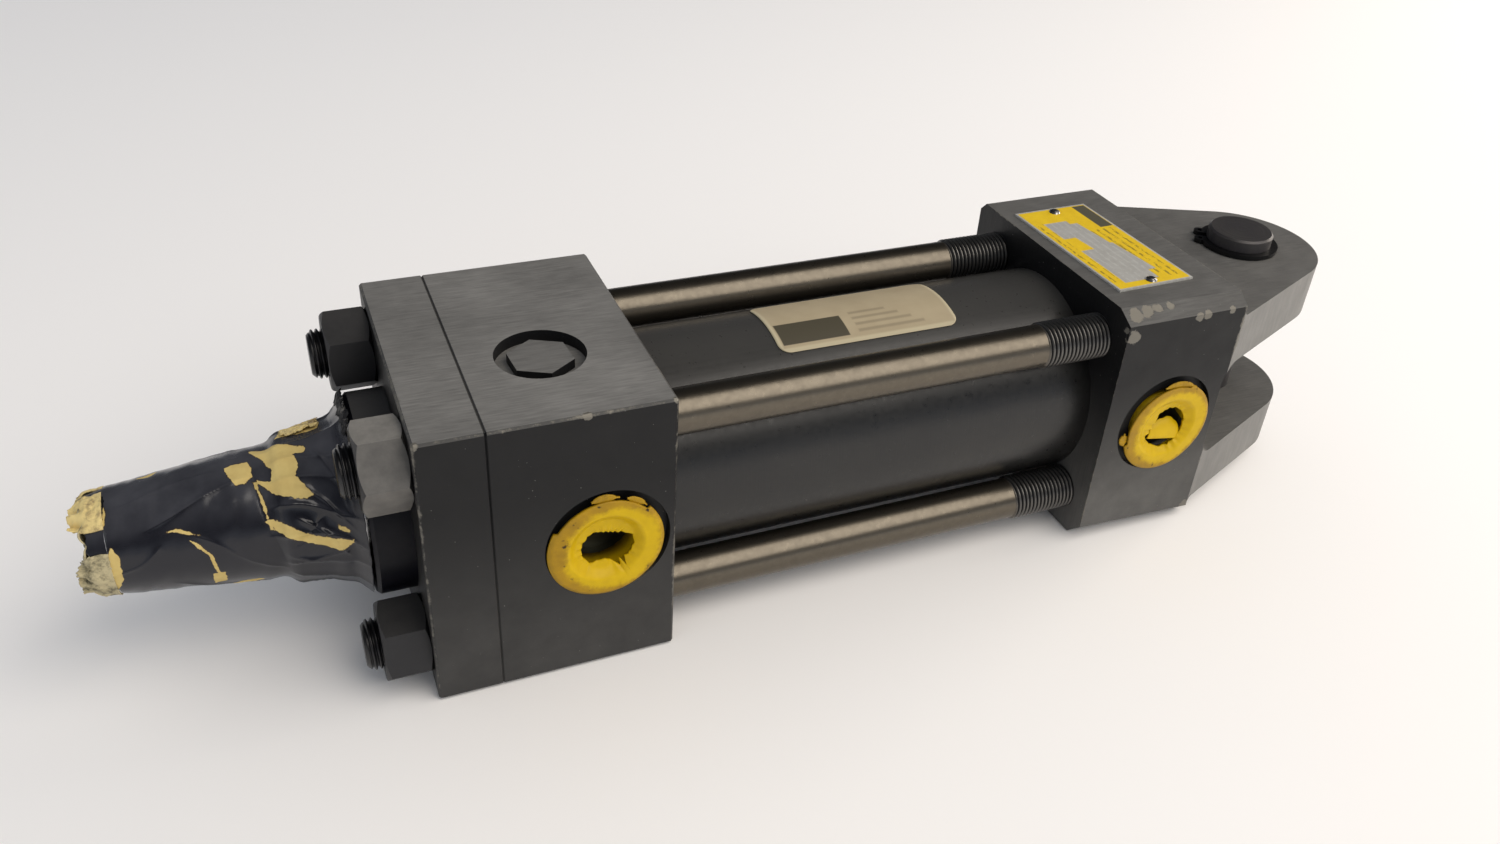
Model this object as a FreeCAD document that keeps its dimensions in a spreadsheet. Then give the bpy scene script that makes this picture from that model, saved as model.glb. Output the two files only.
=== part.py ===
"""Heavy-duty hydraulic tie-rod cylinder with a fixed clevis cap, as a parametric document.

The cylinder's axis runs along X, the rod comes out towards -X and the clevis points to +X.
The side ports open on -Y, and the flat undersides of the head, retainer and cap rest on Z = 0.
The origin lies under the middle of the overall length.  Lengths are millimetres.
"""
import FreeCAD, Part
import os
from math import radians
import Sketcher

doc = FreeCAD.newDocument("TieRodCylinder")

# ---------------------------------------------------------------- driving dimensions
DIMENSIONS = [
    ("body_square", 76.2, "side of the square retainer, head and cap, 3 in"),
    ("edge_break", 0.9, "bevel on turned edges"),
    ("block_break", 0.6, "bevel on the head's and retainer's outer edges"),
    ("joint_break", 0.35, "bevel on their edges where the two meet"),
    ("retainer_thick", 15.875, "retainer plate, 5/8 in"),
    ("head_length", 44.45, "head block, 1 3/4 in"),
    ("cap_length", 39.6, "cap block without its ears, 1 9/16 in"),
    ("stroke", 92.075, "travel of the rod, 3 5/8 in"),
    ("bore", 50.8, "bore of the tube, 2 in"),
    ("tube_wall", 4.7625, "wall of the tube, 3/16 in"),
    ("tube_seat", 4.8, "depth of the seat that takes each end of the tube"),
    ("tube_seal", 1.6, "thickness of the flat seal under each end of the tube"),
    ("piston_length", 34.925, "length of the piston, 1 3/8 in"),
    ("end_gap", 0.3, "gap left between the piston and each end of its travel"),
    ("tie_spacing", 52.07, "side of the square that the tie rods stand on, 2.05 in"),
    ("tie_shank", 11.7, "diameter of a tie rod between its rolled threads"),
    ("tie_thread", 12.7, "diameter over a tie rod's thread, 1/2 in"),
    ("tie_hole_gap", 0.3, "radial clearance of a tie rod in the retainer and head"),
    ("tie_thread_shown", 16.0, "length of thread that stays in view before the cap"),
    ("tie_engaged", 20.0, "length of thread inside the cap"),
    ("tie_tip", 3.9, "length of a tie rod beyond its nut"),
    ("tie_front_thread", 24.0, "length of the thread at the nut's end"),
    ("nut_flats", 19.05, "width across flats of a nut, 3/4 in"),
    ("nut_height", 11.1, "height of a nut, 7/16 in"),
    ("nut_bevel", 1.7, "30 degree bevel on a nut's corners"),
    ("rod_diameter", 34.925, "piston rod, 1 3/8 in"),
    ("stud_diameter", 25.2, "threaded rod end, 1 in"),
    ("stud_length", 41.275, "length of the threaded rod end, 1 5/8 in"),
    ("shoulder_reach", 25.4, "from the retainer's face to the rod's shoulder, 1 in"),
    ("wrench_flats", 28.575, "width across the rod's wrench flats, 1 1/8 in"),
    ("wrench_length", 9.0, "length of the wrench flats"),
    ("gland_boss", 50.8, "boss of the gland, 2 in"),
    ("gland_reach", 9.525, "how far the boss stands out of the retainer, 3/8 in"),
    ("gland_flange", 57.15, "flange that the retainer clamps, 2 1/4 in"),
    ("gland_flange_thick", 6.35, "thickness of that flange"),
    ("gland_depth", 15.0, "depth of the gland inside the head"),
    ("gland_gap", 0.05, "radial clearance of the gland in the retainer and head"),
    ("slide_gap", 0.05, "radial running clearance of the rod, piston and pin"),
    ("wiper_width", 5.0, "width of the rod wiper"),
    ("wiper_height", 3.8, "radial height of the rod wiper"),
    ("lip_seal_width", 7.0, "width of the rod's lip seal"),
    ("lip_seal_height", 4.4, "radial height of the rod's lip seal"),
    ("lip_seal_setback", 7.0, "wall of bush between the wiper and the lip seal"),
    ("o_ring", 2.6, "cord diameter of the gland's O-ring"),
    ("chamber_diameter", 47.0, "oil chamber in the head, behind the gland"),
    ("chamber_end", 35.0, "depth at which that chamber ends"),
    ("cushion_sleeve", 40.0, "cushion sleeve in front of the piston"),
    ("cushion_length", 20.0, "length of the cushion sleeve"),
    ("cushion_gap", 0.15, "radial clearance of a cushion in its land"),
    ("spear_diameter", 22.0, "cushion spear behind the piston"),
    ("spear_length", 21.0, "length of the cushion spear"),
    ("spear_land", 12.0, "depth at which the spear's land in the cap ends"),
    ("cap_chamber", 29.0, "oil chamber in the cap"),
    ("cap_chamber_end", 28.0, "depth at which that chamber ends"),
    ("spigot_diameter", 28.0, "end of the rod that carries the piston"),
    ("seal_width", 5.0, "width of a piston seal"),
    ("seal_height", 4.0, "radial height of a piston seal"),
    ("seal_margin", 4.0, "wall of piston outside each seal"),
    ("wear_width", 8.0, "width of the piston's wear ring"),
    ("wear_height", 2.0, "radial height of the wear ring"),
    ("port_from_tube", 17.1, "from the head's rear face to its port"),
    ("cap_port_depth", 21.0, "from the cap's front face to its port"),
    ("port_face", 31.2, "diameter of a port's spotface"),
    ("port_face_depth", 2.5, "depth of a port's spotface"),
    ("port_thread", 20.6, "bore of a port's thread"),
    ("port_thread_depth", 12.0, "depth of a port's thread"),
    ("port_drill", 13.0, "passage from a port to its chamber"),
    ("check_face", 22.2, "counterbore of the plug on top of the head, 7/8 in"),
    ("check_face_depth", 3.2, "depth of that counterbore"),
    ("check_flats", 14.3, "width across flats of that plug, 9/16 in"),
    ("check_shank", 12.7, "threaded shank of that plug"),
    ("check_length", 9.0, "length of that shank"),
    ("check_sunk", 0.7, "how far that plug's top lies below the head's"),
    ("check_turn", 34.5, "angle that plug is tightened to, in degrees"),
    ("check_forward", 25.0, "from the head's rear face to that plug"),
    ("check_aside", 9.6, "how far that plug stands towards the ports"),
    ("clevis_gap", 31.75, "gap between the ears, 1 1/4 in"),
    ("ear_thick", 15.875, "thickness of an ear, 5/8 in"),
    ("eye_reach", 30.25, "from the cap's rear face to the eye, 1 3/16 in"),
    ("nose_radius", 23.8, "radius of an ear round its eye, 15/16 in"),
    ("slot_extra", 0.8, "how far the clevis gap is cut into the cap's rear face"),
    ("root_fillet", 5.5, "fillet at the bottom of the clevis gap"),
    ("step_fillet", 2.0, "fillet between an ear's outside and the cap"),
    ("low_front", 5.0, "bevel of the cap's lower long edges at the front"),
    ("low_rear", 3.4, "the same bevel at the rear"),
    ("far_front", 2.6, "bevel of its upper edge away from the ports, at the front"),
    ("far_rear", 2.2, "the same bevel at the rear"),
    ("near_front", 5.4, "width on top of its upper edge's bevel over the ports, at the front"),
    ("near_rear", 3.7, "the same width at the rear"),
    ("near_down", 3.1, "height of that bevel on the side"),
    ("pin_diameter", 19.05, "clevis pin, 3/4 in"),
    ("pin_stand", 5.2, "how far the pin stands out of each ear"),
    ("pin_bevel", 0.6, "bevel on the pin's ends"),
    ("ring_thick", 1.2, "thickness of a snap ring"),
    ("ring_lift", 0.25, "gap between a snap ring and the ear"),
    ("ring_groove", 0.55, "depth of a snap ring's groove"),
    ("ring_width", 2.7, "radial width of a snap ring"),
    ("ring_lug", 3.4, "diameter of a snap ring's lug"),
    ("plug_flange", 29.5, "flange of a transit plug"),
    ("plug_skirt", 19.8, "push-in skirt of a transit plug"),
    ("plug_depth", 9.0, "depth of that skirt"),
    ("plug_stand", 0.9, "how far a transit plug stands out"),
    ("plug_web", 1.2, "thickness of a transit plug's web"),
    ("plate_wide", 25.4, "nameplate along the cylinder, 1 in"),
    ("plate_long", 50.8, "nameplate across the cylinder, 2 in"),
    ("plate_thick", 0.6, "thickness of the nameplate"),
    ("plate_turn", 1.4, "how far the nameplate is turned out of square, in degrees"),
    ("plate_aside", 0.5, "how far the nameplate's middle lies away from the ports"),
    ("plate_from_front", 17.2, "from the cap's front face to the nameplate's middle"),
    ("rivet_spacing", 45.8, "distance between the nameplate's rivets"),
    ("rivet_hole", 2.0, "hole for a rivet"),
    ("rivet_head", 3.4, "head of a rivet"),
    ("rivet_height", 0.7, "height of a rivet's head"),
    ("rivet_depth", 4.0, "length of a rivet in the cap"),
    ("label_long", 55.0, "label along the tube"),
    ("label_angle", 47.0, "angle of the tube that the label covers"),
    ("label_thick", 0.2, "thickness of the label"),
    ("label_from_head", 66.5, "from the head's rear face to the label's middle"),
    ("wrap_reach", 72.3, "from the retainer's face to the tip of the rod's wrapping"),
    ("wrap_gap", 0.15, "radial gap between the wrapping and the rod"),
    ("wrap_skin", 0.75, "thickness of the wrapping"),
    ("wrap_flare", 4.5, "how far the wrapping flares out from the rod at the boss"),
]

sheet = doc.addObject("Spreadsheet::Sheet", "Sizes")
for row, (alias, number, note) in enumerate(DIMENSIONS, start=1):
    sheet.set(f"A{row}", alias)
    sheet.set(f"B{row}", str(number))
    sheet.set(f"C{row}", note)
    sheet.setAlias(f"B{row}", alias)
doc.recompute()


class Size:
    """A length that carries both its number and the spreadsheet expression it comes from."""

    def __init__(self, number, text):
        self.number = number
        self.text = text

    @staticmethod
    def of(thing):
        return thing if isinstance(thing, Size) else Size(float(thing), repr(float(thing)))

    def __add__(self, other):
        other = Size.of(other)
        return Size(self.number + other.number, f"({self.text} + {other.text})")

    def __sub__(self, other):
        other = Size.of(other)
        return Size(self.number - other.number, f"({self.text} - {other.text})")

    def __mul__(self, other):
        other = Size.of(other)
        return Size(self.number * other.number, f"({self.text} * {other.text})")

    def __truediv__(self, other):
        other = Size.of(other)
        return Size(self.number / other.number, f"({self.text} / {other.text})")

    def __neg__(self):
        return Size(-self.number, f"(-1 * {self.text})")


class Sizes:
    """Every aliased cell of the sheet, as an attribute."""

    def __init__(self):
        for alias, _, _ in DIMENSIONS:
            setattr(self, alias, Size(float(sheet.get(alias)), f"Sizes.{alias}"))


d = Sizes()
ZERO = Size.of(0)

# ---------------------------------------------------------------- derived sizes
half_square = d.body_square / 2
tube_shown = d.stroke + d.piston_length
tube_outer_radius = d.bore / 2 + d.tube_wall
tube_grip = d.tube_seat - d.tube_seal
tie_half = d.tie_spacing / 2
tie_hole_radius = d.tie_thread / 2 + d.tie_hole_gap
rod_radius = d.rod_diameter / 2
stud_radius = d.stud_diameter / 2
boss_radius = d.gland_boss / 2
flange_radius = d.gland_flange / 2
ear_outer = d.clevis_gap / 2 + d.ear_thick
pin_radius = d.pin_diameter / 2

# ---------------------------------------------------------------- stations along X
overall = (d.wrap_reach + d.retainer_thick + d.head_length + tube_shown + d.cap_length
           + d.eye_reach + d.nose_radius)
x_retainer = d.wrap_reach - overall / 2
x_head = x_retainer + d.retainer_thick
x_head_rear = x_head + d.head_length
x_cap = x_head_rear + tube_shown
x_cap_rear = x_cap + d.cap_length
x_eye = x_cap_rear + d.eye_reach
x_shoulder = x_retainer - d.shoulder_reach
rivet_lean = d.rivet_spacing / 2 * d.plate_turn * 0.01745
x_stud = x_shoulder - d.stud_length
x_wrap = x_retainer - d.wrap_reach
x_piston_rear = x_cap - d.end_gap
x_piston = x_cap - d.piston_length + d.end_gap
z_axis = half_square


# ---------------------------------------------------------------- modelling helpers
def bind(thing, path, size):
    """Bind one property of an object to a size's expression."""
    thing.setExpression(path, Size.of(size).text)


def new_body(label, x=ZERO, y=ZERO, z=z_axis, turn=None):
    """A body whose own X axis lies on the cylinder's axis unless it is turned."""
    body = doc.addObject("PartDesign::Body", label)
    body.Label = label
    if turn:
        axis, angle = turn
        degrees = Size.of(angle).number
        body.Placement.Rotation = FreeCAD.Rotation(FreeCAD.Vector(*axis), degrees)
    bind(body, "Placement.Base.x", x)
    bind(body, "Placement.Base.y", y)
    bind(body, "Placement.Base.z", z)
    return body


def new_sketch(body, role, offset=None):
    """A sketch on one of the body's own origin planes, moved along the plane's normal."""
    sketch = body.newObject("Sketcher::SketchObject", f"{body.Name}_sketch")
    plane = next(item for item in body.Origin.OriginFeatures if item.Role == role)
    sketch.AttachmentSupport = [(plane, "")]
    sketch.MapMode = "FlatFace"
    if offset is not None:
        bind(sketch, "AttachmentOffset.Base.z", offset)
    return sketch


def pin_point(sketch, geometry, point, x, y):
    """Hold one point of the geometry at (x, y) from the sketch's origin."""
    for kind, size in (("DistanceX", Size.of(x)), ("DistanceY", Size.of(y))):
        index = sketch.addConstraint(
            Sketcher.Constraint(kind, -1, 1, geometry, point, size.number))
        if size.text != repr(size.number):
            bind(sketch, f"Constraints[{index}]", size)


def polygon(sketch, points):
    """A closed outline through points whose places are all bound to the sheet."""
    spots = [FreeCAD.Vector(Size.of(x).number, Size.of(y).number, 0) for x, y in points]
    count = len(spots)
    lines = [sketch.addGeometry(Part.LineSegment(spots[i], spots[(i + 1) % count]), False)
             for i in range(count)]
    for i in range(count):
        sketch.addConstraint(
            Sketcher.Constraint("Coincident", lines[i], 2, lines[(i + 1) % count], 1))
    for line, (x, y) in zip(lines, points):
        pin_point(sketch, line, 1, x, y)
    return lines


def rectangle(sketch, x0, x1, y0, y1):
    return polygon(sketch, [(x0, y0), (x1, y0), (x1, y1), (x0, y1)])


def circle(sketch, x, y, radius):
    centre = FreeCAD.Vector(Size.of(x).number, Size.of(y).number, 0)
    ring = sketch.addGeometry(
        Part.Circle(centre, FreeCAD.Vector(0, 0, 1), Size.of(radius).number), False)
    pin_point(sketch, ring, 3, x, y)
    index = sketch.addConstraint(Sketcher.Constraint("Radius", ring, Size.of(radius).number))
    bind(sketch, f"Constraints[{index}]", radius)
    return ring


def hexagon(sketch, x, y, flats):
    """A regular hexagon held by its corners on a construction circle."""
    corner = flats / Size(3 ** 0.5, "sqrt(3)")
    half = corner / 2
    apothem = flats / 2
    points = [(x + corner, y), (x + half, y + apothem), (x - half, y + apothem),
              (x - corner, y), (x - half, y - apothem), (x + half, y - apothem)]
    return polygon(sketch, points)


def feature(body, kind, sketch, **settings):
    """Add a sketch-based feature to the body and recompute it."""
    item = body.newObject(f"PartDesign::{kind}", f"{body.Name}_{kind}")
    item.Profile = sketch
    sketch.Visibility = False
    for name, value in settings.items():
        if isinstance(value, Size):
            bind(item, name, value)
        else:
            setattr(item, name, value)
    doc.recompute()
    return item


def cut(body, kind, sketch, **settings):
    """Add a feature that removes material, and refuse one that removed nothing."""
    before = body.Shape.Volume
    item = feature(body, kind, sketch, **settings)
    if body.Shape.Volume > before - 1e-6:
        raise RuntimeError(f"{item.Name} in {body.Label} cuts nothing")
    return item


def revolve(body, points, axis="H_Axis", angle=360.0, midplane=False):
    """Turn a closed profile of (along the axis, radius) points round the axis."""
    sketch = new_sketch(body, "XZ_Plane")
    polygon(sketch, points)
    return feature(body, "Revolution", sketch, ReferenceAxis=(sketch, [axis]),
                   Angle=angle, Midplane=midplane)


def groove(body, points, axis="H_Axis"):
    sketch = new_sketch(body, "XZ_Plane")
    polygon(sketch, points)
    return cut(body, "Groove", sketch, ReferenceAxis=(sketch, [axis]), Angle=360.0)


def four_times(body, original):
    """Repeat a feature round the body's own X axis at each corner of the square."""
    axis = next(item for item in body.Origin.OriginFeatures if item.Role == "X_Axis")
    pattern = body.newObject("PartDesign::PolarPattern", f"{body.Name}_Pattern")
    pattern.Originals = [original]
    pattern.Axis = (axis, [""])
    pattern.Angle = 360.0
    pattern.Occurrences = 4
    body.Tip = pattern
    doc.recompute()
    return pattern


def dress(body, kind, base, edges, **settings):
    """Fillet or chamfer the numbered edges of the base feature."""
    item = body.newObject(f"PartDesign::{kind}", f"{body.Name}_{kind}")
    item.Base = (base, [f"Edge{number}" for number in edges])
    for name, value in settings.items():
        bind(item, name, value)
    doc.recompute()
    return item


def edges_where(shape, test):
    """Numbers of the edges that lie wholly where the test holds."""
    found = []
    for number, edge in enumerate(shape.Edges, start=1):
        first = edge.valueAt(edge.FirstParameter)
        last = edge.valueAt(edge.LastParameter)
        if test(first) and test(last):
            found.append(number)
    return found


def near(value, size, slack=0.01):
    return abs(value - Size.of(size).number) < slack


def block(body, length):
    """A square machined block."""
    sketch = new_sketch(body, "YZ_Plane")
    rectangle(sketch, -half_square, half_square, -half_square, half_square)
    pad = feature(body, "Pad", sketch, Length=length)
    return pad


def break_edges(body, pad, joint):
    """Bevel a block's outer edges, less on the face where it meets its neighbour."""
    def at_joint(point):
        return near(point.x, joint)

    edges = set(range(1, 13)) - set(edges_where(pad.Shape, at_joint))
    outer = dress(body, "Chamfer", pad, sorted(edges), Size=d.block_break)
    return dress(body, "Chamfer", outer, edges_where(outer.Shape, at_joint),
                 Size=d.joint_break)


def tie_holes(body, radius, depth, start=ZERO, backwards=False):
    """One hole for a tie rod, repeated at the four corners."""
    sketch = new_sketch(body, "YZ_Plane", start)
    circle(sketch, tie_half, tie_half, radius)
    hole = cut(body, "Pocket", sketch, Length=depth, Reversed=not backwards)
    return four_times(body, hole)


def side_port(body, x):
    """A stepped port from the -Y side: spotface, thread bore and passage."""
    steps = ((d.port_face / 2, d.port_face_depth), (d.port_thread / 2, d.port_thread_depth),
             (d.port_drill / 2, half_square - ZERO))
    for radius, depth in steps:
        sketch = new_sketch(body, "XZ_Plane", half_square)
        circle(sketch, x, ZERO, radius)
        cut(body, "Pocket", sketch, Length=depth)


def ring(label, x, width, inner, outer):
    """A plain ring round the cylinder's axis."""
    body = new_body(label, x)
    revolve(body, [(ZERO, inner), (width, inner), (width, outer), (ZERO, outer)])
    return body


def group(label, members):
    """Separate equal solids that share one node."""
    compound = doc.addObject("Part::Compound", label)
    compound.Label = label
    compound.Links = members
    doc.recompute()
    return compound


# ---------------------------------------------------------------- head end
def make_retainer_plate():
    body = new_body("retainer_plate", x_retainer)
    pad = block(body, d.retainer_thick)
    break_edges(body, pad, d.retainer_thick)
    sketch = new_sketch(body, "YZ_Plane")
    circle(sketch, ZERO, ZERO, boss_radius + d.gland_gap)
    cut(body, "Pocket", sketch, Length=d.retainer_thick, Reversed=True)
    tie_holes(body, tie_hole_radius, d.retainer_thick)
    return body


def make_front_head():
    body = new_body("front_head", x_head)
    pad = block(body, d.head_length)
    break_edges(body, pad, ZERO)
    flange = flange_radius + d.gland_gap
    barrel = boss_radius + d.gland_gap
    chamber = d.chamber_diameter / 2
    land = d.cushion_sleeve / 2 + d.cushion_gap
    seat_x = d.head_length - d.tube_seat
    seat = tube_outer_radius + d.gland_gap
    groove(body, [(ZERO, ZERO), (ZERO, flange), (d.gland_flange_thick, flange),
                  (d.gland_flange_thick, barrel), (d.gland_depth, barrel),
                  (d.gland_depth, chamber), (d.chamber_end, chamber), (d.chamber_end, land),
                  (seat_x, land), (seat_x, seat), (d.head_length, seat), (d.head_length, ZERO)])
    tie_holes(body, tie_hole_radius, d.head_length)
    side_port(body, d.head_length - d.port_from_tube)
    x_check = d.head_length - d.check_forward
    for radius, depth in ((d.check_face / 2, d.check_face_depth),
                          (d.check_shank / 2, half_square - d.chamber_diameter / 3)):
        sketch = new_sketch(body, "XY_Plane", half_square)
        circle(sketch, x_check, -d.check_aside, radius)
        cut(body, "Pocket", sketch, Length=depth)
    return body


def make_head_check_plug():
    """Hexagon-headed plug that sits just below the rim of its counterbore in the head."""
    body = new_body("head_check_plug", x_head_rear - d.check_forward, -d.check_aside,
                    d.body_square - d.check_face_depth, turn=((0, 0, 1), d.check_turn))
    sketch = new_sketch(body, "XY_Plane")
    hexagon(sketch, ZERO, ZERO, d.check_flats)
    feature(body, "Pad", sketch, Length=d.check_face_depth - d.check_sunk)
    sketch = new_sketch(body, "XY_Plane")
    circle(sketch, ZERO, ZERO, d.check_shank / 2 - 0.05)
    feature(body, "Pad", sketch, Length=d.check_length, Reversed=True)
    return body


def make_gland_bush():
    """Bearing bush of the rod: boss, clamped flange, and grooves for wiper, seal and O-ring."""
    body = new_body("gland_bush", x_retainer - d.gland_reach)
    inner = rod_radius + d.slide_gap
    x_flange = d.gland_reach + d.retainer_thick
    x_flange_end = x_flange + d.gland_flange_thick
    x_end = x_flange + d.gland_depth
    bevel = d.edge_break
    revolve(body, [(ZERO, inner), (ZERO, boss_radius - bevel), (bevel, boss_radius),
                   (x_flange, boss_radius), (x_flange, flange_radius),
                   (x_flange_end, flange_radius), (x_flange_end, boss_radius),
                   (x_end, boss_radius), (x_end, inner)])
    wiper = rod_radius + d.wiper_height
    groove(body, [(ZERO, ZERO), (ZERO, wiper), (d.wiper_width, wiper), (d.wiper_width, ZERO)])
    x_seal = d.wiper_width + d.lip_seal_setback
    seal = rod_radius + d.lip_seal_height
    groove(body, [(x_seal, ZERO), (x_seal, seal), (x_seal + d.lip_seal_width, seal),
                  (x_seal + d.lip_seal_width, ZERO)])
    x_ring = x_flange_end + 2.5
    floor = boss_radius - d.o_ring
    groove(body, [(x_ring, floor), (x_ring, boss_radius + 1), (x_ring + d.o_ring + 0.4,
                  boss_radius + 1), (x_ring + d.o_ring + 0.4, floor)])
    return body


def make_gland_o_ring():
    body = new_body("gland_o_ring", x_head + d.gland_flange_thick + 2.7 + d.o_ring / 2)
    sketch = new_sketch(body, "XZ_Plane")
    circle(sketch, ZERO, boss_radius - d.o_ring / 2, d.o_ring / 2)
    feature(body, "Revolution", sketch, ReferenceAxis=(sketch, ["H_Axis"]), Angle=360.0)
    return body


def make_rod_wiper():
    return ring("rod_wiper", x_retainer - d.gland_reach + 0.2, d.wiper_width - 0.3,
                rod_radius + d.slide_gap, rod_radius + d.wiper_height - 0.05)


def make_rod_lip_seal():
    x_seal = x_retainer - d.gland_reach + d.wiper_width + d.lip_seal_setback
    return ring("rod_lip_seal", x_seal + 0.1, d.lip_seal_width - 0.2,
                rod_radius + d.slide_gap, rod_radius + d.lip_seal_height - 0.05)


# ---------------------------------------------------------------- barrel
def make_cylinder_tube():
    return ring("cylinder_tube", x_head_rear - tube_grip, tube_shown + tube_grip * 2,
                d.bore / 2, tube_outer_radius)


def make_tube_seals():
    inner = d.bore / 2 + 0.5
    front = ring("tube_seal_front", x_head_rear - d.tube_seat, d.tube_seal, inner,
                 tube_outer_radius)
    rear = ring("tube_seal_rear", x_cap + tube_grip, d.tube_seal, inner, tube_outer_radius)
    return [front, rear]


def make_tube_label():
    body = new_body("tube_label", x_head_rear + d.label_from_head - d.label_long / 2)
    inner = tube_outer_radius + 0.02
    outer = inner + d.label_thick
    revolve(body, [(ZERO, inner), (d.label_long, inner), (d.label_long, outer), (ZERO, outer)],
            angle=d.label_angle, midplane=True)
    return body


# ---------------------------------------------------------------- tie rods and nuts
CORNERS = ((-1, 1, 56.5), (1, 1, 22), (-1, -1, 14), (1, -1, 47))


def at_corner(side, level):
    """Y and Z of a tie rod's axis."""
    return tie_half * side, z_axis + tie_half * level


def make_tie_rods():
    start = x_retainer - d.nut_height - d.tie_tip
    length = x_cap + d.tie_engaged - start
    thread = d.tie_thread / 2
    shank = d.tie_shank / 2
    bevel = d.edge_break
    x_thread = x_cap - d.tie_thread_shown - start
    run_out = 0.6
    bodies = []
    for number, (side, level, _) in enumerate(CORNERS, start=1):
        y, z = at_corner(side, level)
        body = new_body(f"tie_rod_{number}", start, y, z)
        revolve(body, [(ZERO, ZERO), (ZERO, thread - bevel), (bevel, thread),
                       (d.tie_front_thread, thread), (d.tie_front_thread + run_out, shank),
                       (x_thread - run_out, shank), (x_thread, thread),
                       (length - bevel, thread), (length, thread - bevel), (length, ZERO)])
        bodies.append(body)
    return bodies


def make_tie_rod_nuts():
    """Four tall hexagon nuts, bevelled at both faces and each tightened to its own angle."""
    nuts = []
    corner = d.nut_flats / Size(3 ** 0.5, "sqrt(3)")
    outside = corner + 2
    slope = d.nut_bevel * 0.577
    for number, (side, level, angle) in enumerate(CORNERS, start=1):
        y, z = at_corner(side, level)
        body = new_body(f"nut_{number}", x_retainer - d.nut_height, y, z,
                        turn=((1, 0, 0), angle))
        sketch = new_sketch(body, "YZ_Plane")
        hexagon(sketch, ZERO, ZERO, d.nut_flats)
        feature(body, "Pad", sketch, Length=d.nut_height)
        for face, inward in ((ZERO, slope), (d.nut_height, -slope)):
            groove(body, [(face, corner - d.nut_bevel), (face + inward, corner),
                          (face + inward, outside), (face - inward, outside),
                          (face - inward, corner - d.nut_bevel)])
        sketch = new_sketch(body, "YZ_Plane")
        circle(sketch, ZERO, ZERO, d.tie_thread / 2)
        cut(body, "Pocket", sketch, Length=d.nut_height, Reversed=True)
        nuts.append(body)
    return group("tie_rod_nuts", nuts)


# ---------------------------------------------------------------- cap and clevis
def ear_outline(sketch):
    """Outline of an ear: tapered flanks that run tangent into a round nose."""
    inside = d.cap_length - 4
    x_nose = d.cap_length + d.eye_reach
    far = x_nose.number
    radius = d.nose_radius.number
    half = half_square.number
    spots = [(inside, -half_square), (d.cap_length, -half_square), (d.cap_length, half_square),
             (inside, half_square)]
    points = [FreeCAD.Vector(x.number, y.number, 0) for x, y in spots]
    upper = FreeCAD.Vector(far + radius * 0.5, radius * 0.87, 0)
    lower = FreeCAD.Vector(far + radius * 0.5, -radius * 0.87, 0)
    back = sketch.addGeometry(Part.LineSegment(points[3], points[0]), False)
    low_edge = sketch.addGeometry(Part.LineSegment(points[0], points[1]), False)
    low_flank = sketch.addGeometry(Part.LineSegment(points[1], lower), False)
    nose = sketch.addGeometry(
        Part.ArcOfCircle(Part.Circle(FreeCAD.Vector(far, 0, 0), FreeCAD.Vector(0, 0, 1), radius),
                         -1.05, 1.05), False)
    high_flank = sketch.addGeometry(Part.LineSegment(upper, points[2]), False)
    high_edge = sketch.addGeometry(Part.LineSegment(points[2], points[3]), False)
    for one, end, other, start in ((back, 2, low_edge, 1), (low_edge, 2, low_flank, 1),
                                   (high_flank, 2, high_edge, 1), (high_edge, 2, back, 1)):
        sketch.addConstraint(Sketcher.Constraint("Coincident", one, end, other, start))
    sketch.addConstraint(Sketcher.Constraint("Tangent", low_flank, 2, nose, 1))
    sketch.addConstraint(Sketcher.Constraint("Tangent", nose, 2, high_flank, 1))
    index = sketch.addConstraint(Sketcher.Constraint("Radius", nose, radius))
    bind(sketch, f"Constraints[{index}]", d.nose_radius)
    pin_point(sketch, nose, 3, x_nose, ZERO)
    pin_point(sketch, low_edge, 1, *spots[0])
    pin_point(sketch, low_flank, 1, *spots[1])
    pin_point(sketch, high_edge, 1, *spots[2])
    pin_point(sketch, back, 1, *spots[3])


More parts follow.
